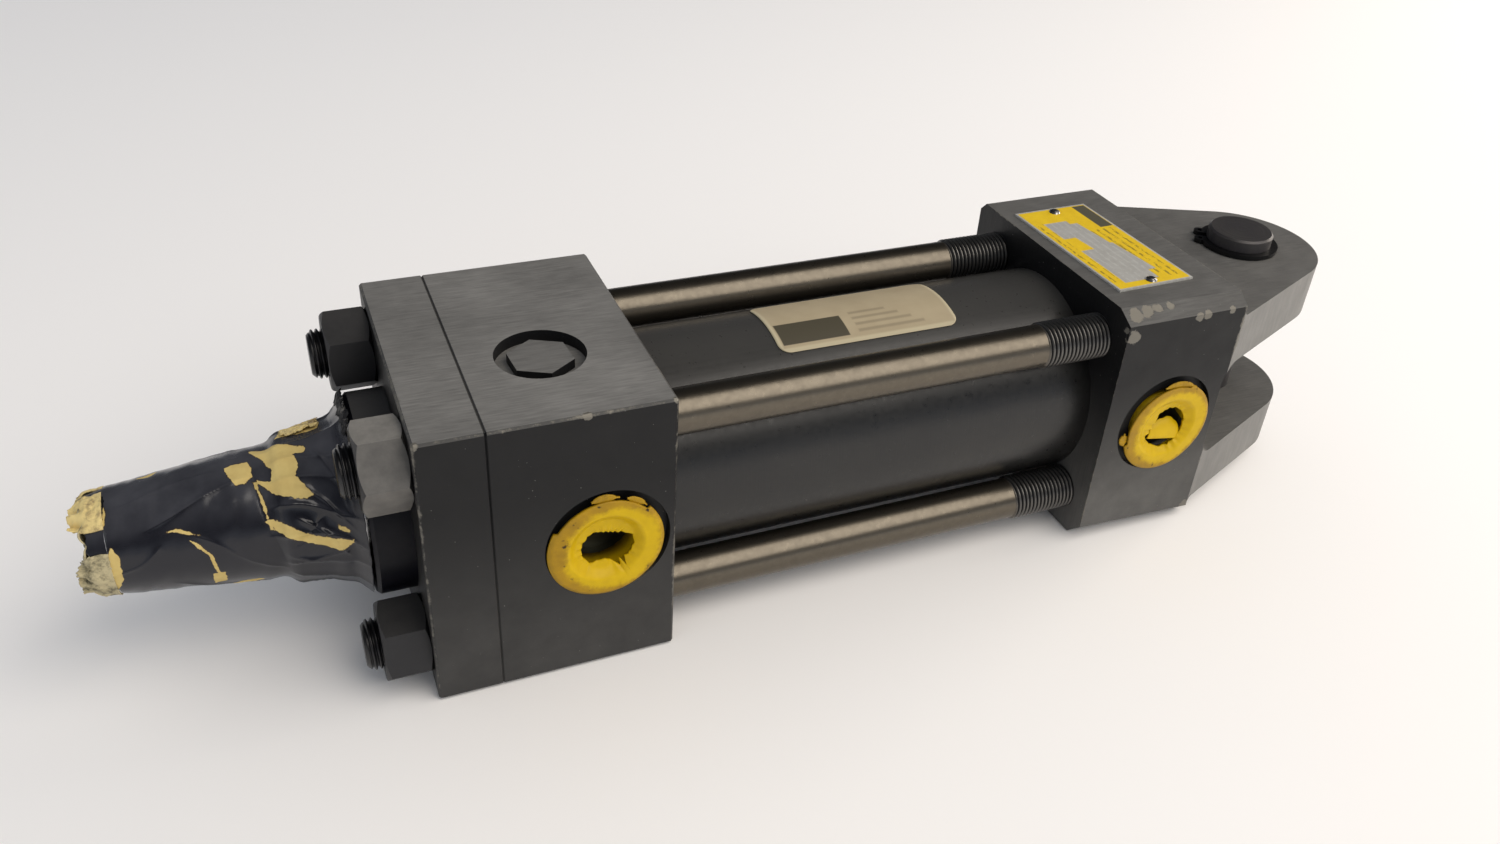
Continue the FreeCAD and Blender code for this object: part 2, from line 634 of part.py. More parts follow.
def clevis_slot(sketch):
    """Outline of the gap between the ears, with both corners of its floor rounded."""
    floor = d.cap_length - d.slot_extra
    mouth = d.cap_length + d.eye_reach + d.nose_radius + 5
    half = d.clevis_gap / 2
    bend = floor + d.root_fillet
    low, high = d.root_fillet - half, half - d.root_fillet
    corners = [(bend, -half), (mouth, -half), (mouth, half), (bend, half), (floor, high),
               (floor, low)]
    spots = [FreeCAD.Vector(x.number, y.number, 0) for x, y in corners]
    lines = [sketch.addGeometry(Part.LineSegment(spots[i], spots[i + 1]), False)
             for i in (0, 1, 2, 4)]
    radius = d.root_fillet.number
    arcs = []
    for y, start in ((high, 90), (low, 180)):
        centre = FreeCAD.Vector(bend.number, y.number, 0)
        whole = Part.Circle(centre, FreeCAD.Vector(0, 0, 1), radius)
        arc = sketch.addGeometry(
            Part.ArcOfCircle(whole, radians(start), radians(start + 90)), False)
        arcs.append(arc)
    for one, end, other, start in ((lines[0], 2, lines[1], 1), (lines[1], 2, lines[2], 1)):
        sketch.addConstraint(Sketcher.Constraint("Coincident", one, end, other, start))
    for one, end, other, start in ((lines[2], 2, arcs[0], 1), (arcs[0], 2, lines[3], 1),
                                   (lines[3], 2, arcs[1], 1), (arcs[1], 2, lines[0], 1)):
        sketch.addConstraint(Sketcher.Constraint("Tangent", one, end, other, start))
    pin_point(sketch, arcs[0], 3, bend, high)
    pin_point(sketch, arcs[1], 3, bend, low)
    pin_point(sketch, lines[1], 1, mouth, -half)
    pin_point(sketch, lines[1], 2, mouth, half)
    index = sketch.addConstraint(Sketcher.Constraint("Radius", arcs[0], radius))
    bind(sketch, f"Constraints[{index}]", d.root_fillet)
    sketch.addConstraint(Sketcher.Constraint("Equal", arcs[0], arcs[1]))


def bevel_long_edge(body, side, level, widths, heights):
    """Hand-ground bevel along one long edge of the cap, from its front size to its rear size."""
    sections = []
    for x, width, height in zip((ZERO, d.cap_length), widths, heights):
        sketch = new_sketch(body, "YZ_Plane", x)
        out = half_square + 1
        corner = [(half_square - width, out), (half_square - width, half_square),
                  (half_square, half_square - height), (out, half_square - height), (out, out)]
        polygon(sketch, [(y * side, z * level) for y, z in corner])
        sections.append(sketch)
    before = body.Tip.Shape.Volume
    loft = body.newObject("PartDesign::SubtractiveLoft", f"{body.Name}_Bevel")
    loft.Profile = sections[0]
    loft.Sections = [sections[1]]
    loft.Ruled = True
    doc.recompute()
    if loft.Shape.Volume >= before:
        raise RuntimeError(f"{body.Name}: the bevel removed nothing")


def bevel_long_edges(body):
    low = (d.low_front, d.low_rear)
    far = (d.far_front, d.far_rear)
    bevel_long_edge(body, -1, -1, low, low)
    bevel_long_edge(body, 1, -1, low, low)
    bevel_long_edge(body, 1, 1, far, far)
    bevel_long_edge(body, -1, 1, (d.near_front, d.near_rear), (d.near_down, d.near_down))


def make_rear_cap():
    body = new_body("rear_cap", x_cap)
    block(body, d.cap_length)
    bevel_long_edges(body)

    sketch = new_sketch(body, "XY_Plane")
    ear_outline(sketch)
    feature(body, "Pad", sketch, Length=ear_outer * 2, Midplane=True)

    sketch = new_sketch(body, "XZ_Plane")
    clevis_slot(sketch)
    slot = cut(body, "Pocket", sketch, Length=d.body_square + 10, Midplane=True)

    def at_step(point):
        return near(point.x, d.cap_length) and near(abs(point.z), ear_outer)

    dress(body, "Fillet", slot, edges_where(slot.Shape, at_step), Radius=d.step_fillet)

    sketch = new_sketch(body, "XY_Plane")
    circle(sketch, d.cap_length + d.eye_reach, ZERO, pin_radius + d.slide_gap)
    cut(body, "Pocket", sketch, Length=ear_outer * 2 + 10, Midplane=True)

    seat = tube_outer_radius + d.gland_gap
    land = d.spear_diameter / 2 + d.cushion_gap
    chamber = d.cap_chamber / 2
    groove(body, [(ZERO, ZERO), (ZERO, seat), (d.tube_seat, seat), (d.tube_seat, land),
                  (d.spear_land, land), (d.spear_land, chamber), (d.cap_chamber_end, chamber),
                  (d.cap_chamber_end, ZERO)])
    tie_holes(body, d.tie_thread / 2 + 0.05, d.tie_engaged + 1.5)
    side_port(body, d.cap_port_depth)
    for side in (-1, 1):
        sketch = new_sketch(body, "XY_Plane", half_square)
        circle(sketch, d.plate_from_front - rivet_lean * side,
               d.plate_aside + d.rivet_spacing / 2 * side, d.rivet_hole / 2)
        cut(body, "Pocket", sketch, Length=d.rivet_depth)
    return body


def make_clevis_pin():
    """Plain pin with bevelled ends and a groove for a snap ring outside each ear."""
    body = new_body("clevis_pin", x_eye)
    end = ear_outer + d.pin_stand
    near_side = ear_outer + d.ring_lift
    far_side = near_side + d.ring_thick
    neck = pin_radius - d.ring_groove
    half = [(pin_radius, near_side), (neck, near_side), (neck, far_side),
            (pin_radius, far_side), (pin_radius, end - d.pin_bevel),
            (pin_radius - d.pin_bevel, end)]
    mirrored = [(radius, -height) for radius, height in reversed(half)]
    revolve(body, mirrored + half + [(ZERO, end), (ZERO, -end)], axis="V_Axis")
    return body


def make_pin_snap_rings():
    """Two external snap rings: an open ring whose ends carry drilled lugs."""
    rings = []
    inner = pin_radius - d.ring_groove + 0.02
    outer = inner + d.ring_width
    lug_x = outer - 0.2
    for number, level in enumerate((1, -1), start=1):
        base = z_axis + (ear_outer + d.ring_lift) * level
        if level < 0:
            base = base - d.ring_thick
        body = new_body(f"snap_ring_{number}", x_eye, ZERO, base, turn=((0, 0, 1), 142))
        sketch = new_sketch(body, "XY_Plane")
        circle(sketch, ZERO, ZERO, outer)
        circle(sketch, ZERO, ZERO, inner)
        feature(body, "Pad", sketch, Length=d.ring_thick)
        sketch = new_sketch(body, "XY_Plane")
        for side in (-1, 1):
            circle(sketch, lug_x, d.ring_lug * 0.85 * side, d.ring_lug / 2)
        feature(body, "Pad", sketch, Length=d.ring_thick)
        sketch = new_sketch(body, "XY_Plane")
        rectangle(sketch, inner / 2, outer + d.ring_lug, -d.ring_lug * 0.35, d.ring_lug * 0.35)
        cut(body, "Pocket", sketch, Length=d.ring_thick, Reversed=True)
        sketch = new_sketch(body, "XY_Plane")
        for side in (-1, 1):
            circle(sketch, lug_x, d.ring_lug * 0.85 * side, d.ring_lug / 5)
        cut(body, "Pocket", sketch, Length=d.ring_thick, Reversed=True)
        rings.append(body)
    return group("pin_snap_rings", rings)


# ---------------------------------------------------------------- plugs, plate and rivets
def make_port_plug(label, x):
    """Push-in transit plug: skirt, flange, and a dished face closed by a thin web."""
    body = new_body(label, x, -half_square, z_axis, turn=((0, 0, 1), -90))
    flange = d.plug_flange / 2
    skirt = d.plug_skirt / 2
    under = -d.port_face_depth + 0.2
    dish = skirt - 2.4
    web = -3.2
    revolve(body, [(Size.of(web), ZERO), (Size.of(web), dish), (Size.of(-1.4), dish + 1),
                   (d.plug_stand, flange - 2.2), (d.plug_stand, flange - 1), (ZERO, flange),
                   (under, flange), (under, skirt), (-d.plug_depth, skirt),
                   (-d.plug_depth, skirt - 1.3), (Size.of(web) - d.plug_web, skirt - 1.3),
                   (Size.of(web) - d.plug_web, ZERO)])
    return body


def make_nameplate():
    body = new_body("nameplate", x_cap + d.plate_from_front, d.plate_aside, d.body_square,
                    turn=((0, 0, 1), d.plate_turn))
    sketch = new_sketch(body, "XY_Plane")
    rectangle(sketch, -d.plate_wide / 2, d.plate_wide / 2, -d.plate_long / 2, d.plate_long / 2)
    for side in (-1, 1):
        circle(sketch, ZERO, d.rivet_spacing / 2 * side, d.rivet_hole / 2)
    feature(body, "Pad", sketch, Length=d.plate_thick)
    return body


def make_nameplate_rivets():
    rivets = []
    for number, side in enumerate((-1, 1), start=1):
        body = new_body(f"rivet_{number}", x_cap + d.plate_from_front - rivet_lean * side,
                        d.plate_aside + d.rivet_spacing / 2 * side,
                        d.body_square + d.plate_thick)
        shank = d.rivet_hole / 2 - 0.03
        depth = d.rivet_depth + d.plate_thick - 0.3
        head = d.rivet_head / 2
        revolve(body, [(ZERO, -depth), (shank, -depth), (shank, ZERO), (head, ZERO),
                       (head * 0.86, d.rivet_height * 0.6), (head * 0.5, d.rivet_height),
                       (ZERO, d.rivet_height)], axis="V_Axis")
        rivets.append(body)
    return group("nameplate_rivets", rivets)


# ---------------------------------------------------------------- rod, piston and wrapping
def make_piston_rod():
    """Rod with threaded end, wrench flats, a spigot for the piston and a cushion spear."""
    body = new_body("piston_rod", x_stud)
    bevel = d.edge_break
    neck = stud_radius - 1.5
    x_front = x_piston - x_stud
    x_rear = x_piston_rear - x_stud
    tip = x_rear + d.spear_length
    spigot = d.spigot_diameter / 2
    spear = d.spear_diameter / 2
    revolve(body, [(ZERO, ZERO), (ZERO, stud_radius - bevel * 2), (bevel * 2, stud_radius),
                   (d.stud_length - 3, stud_radius), (d.stud_length - 2, neck),
                   (d.stud_length, neck), (d.stud_length, rod_radius - bevel),
                   (d.stud_length + bevel, rod_radius), (x_front, rod_radius),
                   (x_front, spigot), (x_rear, spigot), (x_rear, spear), (tip - 6, spear),
                   (tip - 1, spear - 0.4), (tip, spear - 1.2), (tip, ZERO)])
    sketch = new_sketch(body, "XZ_Plane")
    start = d.stud_length + 2.5
    for side in (-1, 1):
        rectangle(sketch, start, start + d.wrench_length, d.wrench_flats / 2 * side,
                  (rod_radius + 1) * side)
    cut(body, "Pocket", sketch, Length=d.rod_diameter + 4, Midplane=True)
    return body


def make_cushion_sleeve():
    body = new_body("cushion_sleeve", x_piston - d.cushion_length)
    outer = d.cushion_sleeve / 2
    revolve(body, [(ZERO, rod_radius), (ZERO, outer - 1), (Size.of(5), outer),
                   (d.cushion_length, outer), (d.cushion_length, rod_radius)])
    return body


def piston_grooves():
    """Start, width and depth of each ring groove, from the piston's front face."""
    length = d.piston_length - d.end_gap * 2
    middle = length / 2 - d.wear_width / 2
    rear = length - d.seal_margin - d.seal_width
    return ((d.seal_margin, d.seal_width, d.seal_height),
            (middle, d.wear_width, d.wear_height),
            (rear, d.seal_width, d.seal_height))


def make_piston():
    body = new_body("piston", x_piston)
    outer = d.bore / 2 - d.slide_gap
    length = d.piston_length - d.end_gap * 2
    bevel = d.edge_break
    revolve(body, [(ZERO, d.spigot_diameter / 2), (ZERO, outer - bevel), (bevel, outer),
                   (length - bevel, outer), (length, outer - bevel),
                   (length, d.spigot_diameter / 2)])
    for start, width, depth in piston_grooves():
        groove(body, [(start, outer - depth), (start, outer + 1), (start + width, outer + 1),
                      (start + width, outer - depth)])
    return body


def piston_ring(label, slot):
    start, width, depth = slot
    outer = d.bore / 2 - d.slide_gap
    return ring(label, x_piston + start + 0.1, width - 0.2, outer - depth + 0.05, outer)


def make_piston_rings():
    front, wear, rear = piston_grooves()
    return [piston_ring("piston_seal_front", front), piston_ring("piston_wear_ring", wear),
            piston_ring("piston_seal_rear", rear)]


def make_rod_wrap():
    """Paper and tape wound round the rod end, closed at the tip and flared up to the boss."""
    body = new_body("rod_wrap", x_wrap)
    stud = stud_radius + d.wrap_gap
    rod = rod_radius + d.wrap_gap
    skin = d.wrap_skin
    x_tip = x_stud - x_wrap - 0.3
    x_step = x_shoulder - x_wrap - 0.3
    x_boss = d.wrap_reach - d.gland_reach - 0.4
    revolve(body, [(ZERO, ZERO), (ZERO, stud - 3.5), (x_tip - 1, stud + 0.3),
                   (x_tip + 4, stud + skin * 0.9), (x_tip + 22, stud + skin * 1.7),
                   (x_step - 8, stud + skin * 3.2), (x_step - 1, rod + skin),
                   (x_step + 6, rod + skin * 1.6), (x_boss - 2, rod + d.wrap_flare - skin),
                   (x_boss, rod + d.wrap_flare), (x_boss, rod), (x_step, rod), (x_step, stud),
                   (x_tip, stud), (x_tip, ZERO)])
    return body


# ---------------------------------------------------------------- assembly
parts = [make_retainer_plate(), make_front_head(), make_head_check_plug(), make_gland_bush(),
         make_gland_o_ring(), make_rod_wiper(), make_rod_lip_seal(), make_cylinder_tube(),
         make_tube_label(), make_tie_rod_nuts(), make_rear_cap(), make_clevis_pin(),
         make_pin_snap_rings(), make_port_plug("front_port_plug", x_head_rear - d.port_from_tube),
         make_port_plug("rear_port_plug", x_cap + d.cap_port_depth), make_nameplate(),
         make_nameplate_rivets(), make_piston_rod(), make_cushion_sleeve(), make_piston(),
         make_rod_wrap()]
parts += make_tube_seals() + make_tie_rods() + make_piston_rings()
doc.recompute()

broken = [item.Name for item in doc.Objects
          if "Invalid" in item.State or "Error" in item.State]
if broken:
    raise RuntimeError(f"failed objects: {broken}")
for part in parts:
    if part.Shape.isNull() or not part.Shape.isValid():
        raise RuntimeError(f"{part.Label} has no valid shape")

os.makedirs("parts", exist_ok=True)
for part in parts:
    part.Shape.exportStep(f"parts/{part.Label}.step")
    print(f"{part.Label}: {len(part.Shape.Solids)} solid(s), {part.Shape.Volume:.0f} mm3")
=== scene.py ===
"""Tie-rod cylinder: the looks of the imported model, laid out as an add-on.

Lengths in the code are millimetres until a mesh is written, which turns them into metres.
The cylinder's axis runs along X at the height AXIS, and angles round it are counted from
straight up towards the ports, which are on the -Y side.
"""

import math
from functools import partial

import bpy
import numpy as np
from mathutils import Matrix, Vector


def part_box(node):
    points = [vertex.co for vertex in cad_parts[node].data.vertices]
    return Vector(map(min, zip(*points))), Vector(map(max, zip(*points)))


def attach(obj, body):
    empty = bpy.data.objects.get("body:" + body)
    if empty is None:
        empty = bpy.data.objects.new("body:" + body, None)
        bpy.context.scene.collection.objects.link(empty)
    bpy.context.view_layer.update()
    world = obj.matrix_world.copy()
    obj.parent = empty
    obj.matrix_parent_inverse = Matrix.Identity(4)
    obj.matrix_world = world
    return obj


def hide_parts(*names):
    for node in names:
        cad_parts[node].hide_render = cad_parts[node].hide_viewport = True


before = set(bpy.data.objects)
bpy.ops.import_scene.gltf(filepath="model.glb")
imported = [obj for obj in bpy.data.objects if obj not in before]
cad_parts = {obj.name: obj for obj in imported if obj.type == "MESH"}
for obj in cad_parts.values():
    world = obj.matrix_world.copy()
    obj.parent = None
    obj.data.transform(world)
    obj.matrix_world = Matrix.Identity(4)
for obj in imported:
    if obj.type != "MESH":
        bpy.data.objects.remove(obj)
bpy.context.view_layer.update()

bl_info = {
    "name": "Tie-Rod Cylinder",
    "version": (1, 0, 0),
    "blender": (4, 5, 0),
    "location": "View3D > Sidebar > Cylinder",
    "description": "Builds the visible pieces and finishes of a tie-rod cylinder",
    "category": "Add Mesh",
}

MM = 0.001
TAU = 2 * math.pi


def node_box(name):
    """Lowest and highest corner of a CAD node, in mm."""
    low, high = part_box(name)
    return np.array(low) / MM, np.array(high) / MM


RETAINER, HEAD, CAP = (node_box(name) for name in ("retainer_plate", "front_head", "rear_cap"))
PIN, TUBE, WRAP = (node_box(name) for name in ("clevis_pin", "cylinder_tube", "rod_wrap"))
PLATE, LABEL = (node_box(name) for name in ("nameplate", "tube_label"))
AXIS = (HEAD[0][2] + HEAD[1][2]) / 2
FACE_Y = HEAD[0][1]
TUBE_RADIUS = (TUBE[1][1] - TUBE[0][1]) / 2
CAP_LENGTH = 39.6           # of the cap's block, without its ears
STUD = 41.275               # length of the rod's threaded end
PAPER = 2.3                 # how far torn paper stands out past the wrapping's tip
WRAP_START = WRAP[0][0] + PAPER
SHOULDER = node_box("piston_rod")[0][0] + STUD - WRAP_START
ROD_RADIUS, STUD_RADIUS = 17.6, 12.68
LABEL_ARC, LABEL_CORNER, LABEL_SHIFT = 24.6, 3.2, -2.2
LABEL_HALF = (LABEL[1][0] - LABEL[0][0]) / 2 - 0.8


# ---------------------------------------------------------------- colours and nodes
def linear(code):
    """An sRGB hex colour such as 1a2b3c as linear RGBA."""
    values = [int(code[i:i + 2], 16) / 255 for i in (0, 2, 4)]
    turned = [v / 12.92 if v <= 0.04045 else ((v + 0.055) / 1.055) ** 2.4 for v in values]
    return (*turned, 1.0)


def add_node(tree, kind, *values, output=None, **named):
    """Adds one shader node and gives one of its outputs, by default the first live one.
    Values fill the live inputs in order; a name with a capital is an input too, with its
    spaces written as underscores, and any other name is a setting.  A value that is itself a
    socket is linked."""
    made = tree.nodes.new("ShaderNode" + kind)
    for name, value in named.items():
        if name[0].islower():
            setattr(made, name, value)
    inputs = list(zip((socket for socket in made.inputs if socket.enabled), values))
    inputs += [(made.inputs[name.replace("_", " ")], value) for name, value in named.items()
               if name[0].isupper()]
    for socket, value in inputs:
        if isinstance(value, bpy.types.NodeSocket):
            tree.links.new(value, socket)
        else:
            socket.default_value = value
    if output:
        return made.outputs[output]
    return next((socket for socket in made.outputs if socket.enabled), None)


def new_material(name):
    """An empty material, a function that adds nodes to it, and its Object coordinates."""
    material = bpy.data.materials.new(name)
    material.use_nodes = True
    material.node_tree.nodes.clear()
    node = partial(add_node, material.node_tree)
    return material, node, node("TexCoord", output="Object")


def edge_gap(node, place, box):
    """Two distances for a point of a block: to the nearest edge of its box, which for a point
    on a face is the middle one of its distances to the box's sides, and to the nearest side,
    which is the least of them."""
    low, high = box
    centre = node("VectorMath", place, tuple((low + high) / 2 * MM), operation="SUBTRACT")
    out = node("VectorMath", centre, operation="ABSOLUTE")
    gap = node("VectorMath", tuple((high - low) / 2 * MM), out, operation="SUBTRACT")
    x, y, z = node("SeparateXYZ", gap).node.outputs
    least = node("Math", x, y, operation="MINIMUM")
    most = node("Math", x, y, operation="MAXIMUM")
    inner = node("Math", most, z, operation="MINIMUM")
    depth = node("Math", least, z, operation="MINIMUM")
    return (node("Math", least, inner, operation="MAXIMUM"), depth)


# ---------------------------------------------------------------- finishes
# The third colour greys the enamel both as a dusting and as painted light: painted sheen where
# faces look up, a painted floor reflection low on upright faces and painted side light on faces
# towards +X.
ENAMEL, BARE, DUST_AND_PAINTED_LIGHT = "121213", "767269", "918e88"


def rough_edge(node, place, distance, bite):
    """A distance made ragged by fine noise, for the torn outline of a chip in paint."""
    ragged = node("TexNoise", place, 420.0, 6.0, 0.7)
    return node("Math", ragged, -bite * MM, distance, operation="MULTIPLY_ADD")


def dust_and_painted_light_share(node, place, top, foot, flank):
    """How much grey a face gets, partly a dusting and partly painted light: top on faces that look
    up, a dusting with painted sheen; foot at the bottom of upright faces fading out two thirds
    of the way up, a painted reflection of the floor; and flank on faces that look towards +X,
    painted side light."""
    normal = node("NewGeometry", output="True Normal")
    x, _, z = node("SeparateXYZ", normal).node.outputs
    # a dusting with painted sheen on faces that look up
    up = node("MapRange", z, 0.55, 0.95, 0.0, top, interpolation_type="SMOOTHSTEP")
    height = node("SeparateXYZ", place, output="Z")
    # painted floor reflection: upright faces lighter towards their foot
    low = node("MapRange", height, 0.06, 0.004, 0.0, foot, interpolation_type="SMOOTHSTEP")
    # painted side light on faces that look towards +X
    side = node("MapRange", x, 0.1, 0.4, 0.0, flank, interpolation_type="SMOOTHSTEP")
    both = node("Math", up, low, operation="MAXIMUM")
    return node("Math", both, side, operation="MAXIMUM")


def milled_enamel(name, box, chips, dust_and_painted_light, wear):
    """Satin black enamel over milled steel blocks, thin enough for the cutter's marks to show
    as faint slanting streaks, rubbed through to dull metal along the edges, and greyed partly by
    a dusting and partly by painted light: painted sheen on top, a painted floor reflection low on
    upright faces and painted side light towards +X; the bores inside are bare and oily.  chips
    gives (x, y, z, radius) in mm where it has flaked off, the fourth argument the three shares of
    grey for top, foot and flank, and wear how far the edges are rubbed."""
    material, node, place = new_material(name)
    streaks = node("Mapping", place, Rotation=(0.0, 0.0, 0.9), Scale=(1.0, 14.0, 1.0))
    brushed = node("TexNoise", streaks, 130.0, 5.0, 0.62)
    orange_peel = node("TexNoise", place, 900.0, 3.0)
    patches = node("TexNoise", place, 28.0, 5.0, 0.65)

    gap, depth = edge_gap(node, place, box)
    worn = rough_edge(node, place, gap, 2.6)
    patchy = node("Math", patches, -0.003, worn, operation="MULTIPLY_ADD")
    limit = (0.4 * wear - 3.1) * MM
    mask = node("MapRange", patchy, limit - 0.3 * MM, limit + 0.3 * MM, 1.0, 0.0,
                interpolation_type="SMOOTHSTEP")
    for x, y, z, radius in chips:
        away = node("VectorMath", place, (x * MM, y * MM, z * MM), operation="DISTANCE")
        torn = rough_edge(node, place, away, radius * 1.6)
        chip = node("MapRange", torn, -0.12 * MM, 0.12 * MM, 1.0, 0.0,
                    interpolation_type="SMOOTHSTEP")
        mask = node("Math", mask, chip, operation="MAXIMUM")

    specks = node("TexNoise", place, 1500.0, 1.0)
    grit = node("MapRange", specks, 0.78, 0.8, 0.0, 0.6)
    # the grey laid here is partly a dusting and partly painted light: painted sheen, a painted
    # floor reflection and painted side light
    laid = dust_and_painted_light_share(node, place, *dust_and_painted_light)
    swept = node("MapRange", brushed, 0.25, 0.75, 0.72, 1.28)
    blown = node("MapRange", patches, 0.3, 0.7, 0.75, 1.2)
    share = node("Math", laid, swept, operation="MULTIPLY")
    share = node("Math", share, blown, operation="MULTIPLY")
    share = node("Math", share, grit, operation="MAXIMUM")
    dusted_and_lit = node("Mix", share, linear(ENAMEL), linear(DUST_AND_PAINTED_LIGHT), data_type="RGBA")
    colour = node("Mix", mask, dusted_and_lit, linear(BARE), data_type="RGBA")
    bored = node("MapRange", depth, 0.0036, 0.004)
    colour = node("Mix", bored, colour, linear("75766c"), data_type="RGBA")
    metal = node("Math", mask, 0.5, bored, operation="MULTIPLY_ADD")
    gloss = node("MapRange", brushed, 0.3, 0.7, 0.4, 0.54)
    peel = node("Bump", Strength=0.06, Distance=0.0002, Height=orange_peel)
    cutter = node("Bump", Strength=0.1, Distance=0.0003, Height=brushed, Normal=peel)
    sunk = node("Bump", Strength=0.6, Distance=0.00015, Height=mask, Normal=cutter, invert=True)
    shader = node("BsdfPrincipled", Base_Color=colour, Roughness=gloss, Metallic=metal,
                  Normal=sunk, Specular_IOR_Level=0.3)
    node("OutputMaterial", shader)
    return material


def turned_enamel(name, tint, roughness, haze, shine):
    """Thin black finish over drawn and turned steel round the X axis: slightly wavy, with
    faint rings, blotches and pinholes, so its long highlights are broad and soft, and a grey on
    the faces that look up that is a dusting and painted sheen at once."""
    material, node, place = new_material(name)
    rings = node("Mapping", place, Scale=(30.0, 1.0, 1.0))
    turned = node("TexNoise", rings, 60.0, 3.0)
    film = node("TexNoise", place, 700.0, 4.0)
    blotch = node("TexNoise", place, 45.0, 5.0, 0.65)
    cloud = node("MapRange", blotch, 0.35, 0.7)
    colour = node("Mix", cloud, linear(tint), linear(haze), data_type="RGBA")
    pits = node("TexNoise", place, 380.0, 2.0)
    hole = node("MapRange", pits, 0.76, 0.79)
    pitted = node("Mix", hole, colour, linear("050505"), data_type="RGBA")
    gloss = node("MapRange", film, 0.3, 0.7, roughness - 0.04, roughness + 0.06)
    normal = node("NewGeometry", output="True Normal")
    up = node("SeparateXYZ", normal, output="Z")
    # painted sheen with a dusting: faces that look up are lightened towards the grey
    dust_and_painted_light = node("MapRange", up, 0.75, 1.0, 0.0, 0.15, interpolation_type="SMOOTHSTEP")
    dusted_and_lit = node("Mix", dust_and_painted_light, pitted, linear(DUST_AND_PAINTED_LIGHT), data_type="RGBA")
    lathe = node("Bump", Strength=0.08, Distance=0.0002, Height=turned)
    wavy = node("Bump", Strength=0.02, Distance=0.0002, Height=film, Normal=lathe)
    shader = node("BsdfPrincipled", Base_Color=dusted_and_lit, Roughness=gloss, Specular_IOR_Level=shine,
                  Normal=wavy)
    node("OutputMaterial", shader)
    return material


def drawn_rod(sizes):
    """Drawn steel rod with a thin dark film: a warm grey metal that mirrors the floor and the
    sky in soft bands.  Its thread roots are painted black as shade, and its ends in front of the
    retainer are enamelled black."""
    material, node, place = new_material("blackened_drawn_rod")
    low, high = node_box("tie_rod_1")
    crest = (high[1] - low[1]) / 2
    own = node("VectorMath", place, (0.0, 0.0, AXIS * MM), operation="SUBTRACT")
    folded = node("VectorMath", own, operation="ABSOLUTE")
    x, y, z = node("SeparateXYZ", folded).node.outputs
    along = node("SeparateXYZ", place, output="X")
    middle_y, middle_z = abs(low[1] + high[1]) / 2, abs((low[2] + high[2]) / 2 - AXIS)
    flat = node("CombineXYZ", Y=y, Z=z)
    away = node("VectorMath", flat, (0.0, middle_y * MM, middle_z * MM), operation="DISTANCE")
    # painted shade: the thread's roots are laid black, where shade falls between the crests
    root = node("MapRange", away, (crest - 0.12) * MM, (crest - 0.5) * MM)
    rear = node("MapRange", along, (CAP[0][0] - sizes.thread_shown - 0.4) * MM,
                (CAP[0][0] - sizes.thread_shown + 0.6) * MM)
    front = node("MapRange", along, (RETAINER[0][0] + 1) * MM, RETAINER[0][0] * MM)
    # the painted shade in the roots of the rear thread
    thread = node("Math", root, rear, operation="MULTIPLY")
    black = node("Math", thread, front, operation="MAXIMUM")
    film = node("TexNoise", place, 520.0, 5.0, 0.7)
    tint = node("Mix", film, linear("756e62"), linear("5f5950"), data_type="RGBA")
    grey = node("Mix", rear, tint, linear("6f6d6a"), data_type="RGBA")
    colour = node("Mix", black, grey, linear("0e0e10"), data_type="RGBA")
    metal = node("Math", 0.95, black, operation="SUBTRACT", use_clamp=True)
    gloss = node("MapRange", film, 0.3, 0.7, 0.26, 0.36)
    wavy = node("Bump", Strength=0.06, Distance=0.0002, Height=film)
    shader = node("BsdfPrincipled", Base_Color=colour, Roughness=gloss, Metallic=metal,
                  Normal=wavy)
    node("OutputMaterial", shader)
    return material


def plain_finish(name, colour, metallic, roughness):
    """A plain finish with one noise that varies its gloss."""
    material, node, place = new_material(name)
    noise = node("TexNoise", place, 600.0, 4.0)
    gloss = node("MapRange", noise, 0.3, 0.7, roughness * 0.85, roughness * 1.2)
    shader = node("BsdfPrincipled", Base_Color=linear(colour), Metallic=metallic, Roughness=gloss)
    node("OutputMaterial", shader)
    return material


def nut_with_painted_light():
    """Black-finished forged nuts with painted light: greyed wherever they look up or outwards,
    darker where they face down, and the near upper one far more than the rest."""
    material, node, place = new_material("blackened_forged_nut")
    normal = node("NewGeometry", output="True Normal")
    # painted light: faces that look up, or down towards the front, are greyed as if lit
    above = node("VectorMath", normal, (0.1, -0.05, 0.96), operation="DOT_PRODUCT")
    under = node("VectorMath", normal, (0.0, -0.54, -0.48), operation="DOT_PRODUCT")
    lit = node("Math", above, under, operation="MAXIMUM")
    grey = node("MapRange", lit, 0.2, 1.0, 0.0, 0.62)
    blotch = node("TexNoise", place, 160.0, 6.0, 0.7)
    patch = node("MapRange", blotch, 0.3, 0.7, 0.7, 1.3)
    share = node("Math", grey, patch, operation="MULTIPLY")
    # painted light, far stronger on the near upper nut
    corner = node("VectorMath", place, (0.0, -1.0, 1.0), operation="DOT_PRODUCT")
    near_nut_light = node("MapRange", corner, 0.06, 0.075, 0.12)
    share = node("Math", share, near_nut_light, operation="MULTIPLY")
    colour = node("Mix", share, linear("17171a"), linear("98938a"), data_type="RGBA")
    forged = node("Bump", Strength=0.12, Distance=0.0002, Height=blotch)
    shader = node("BsdfPrincipled", Base_Color=colour, Roughness=0.5, Normal=forged)
    node("OutputMaterial", shader)
    return material


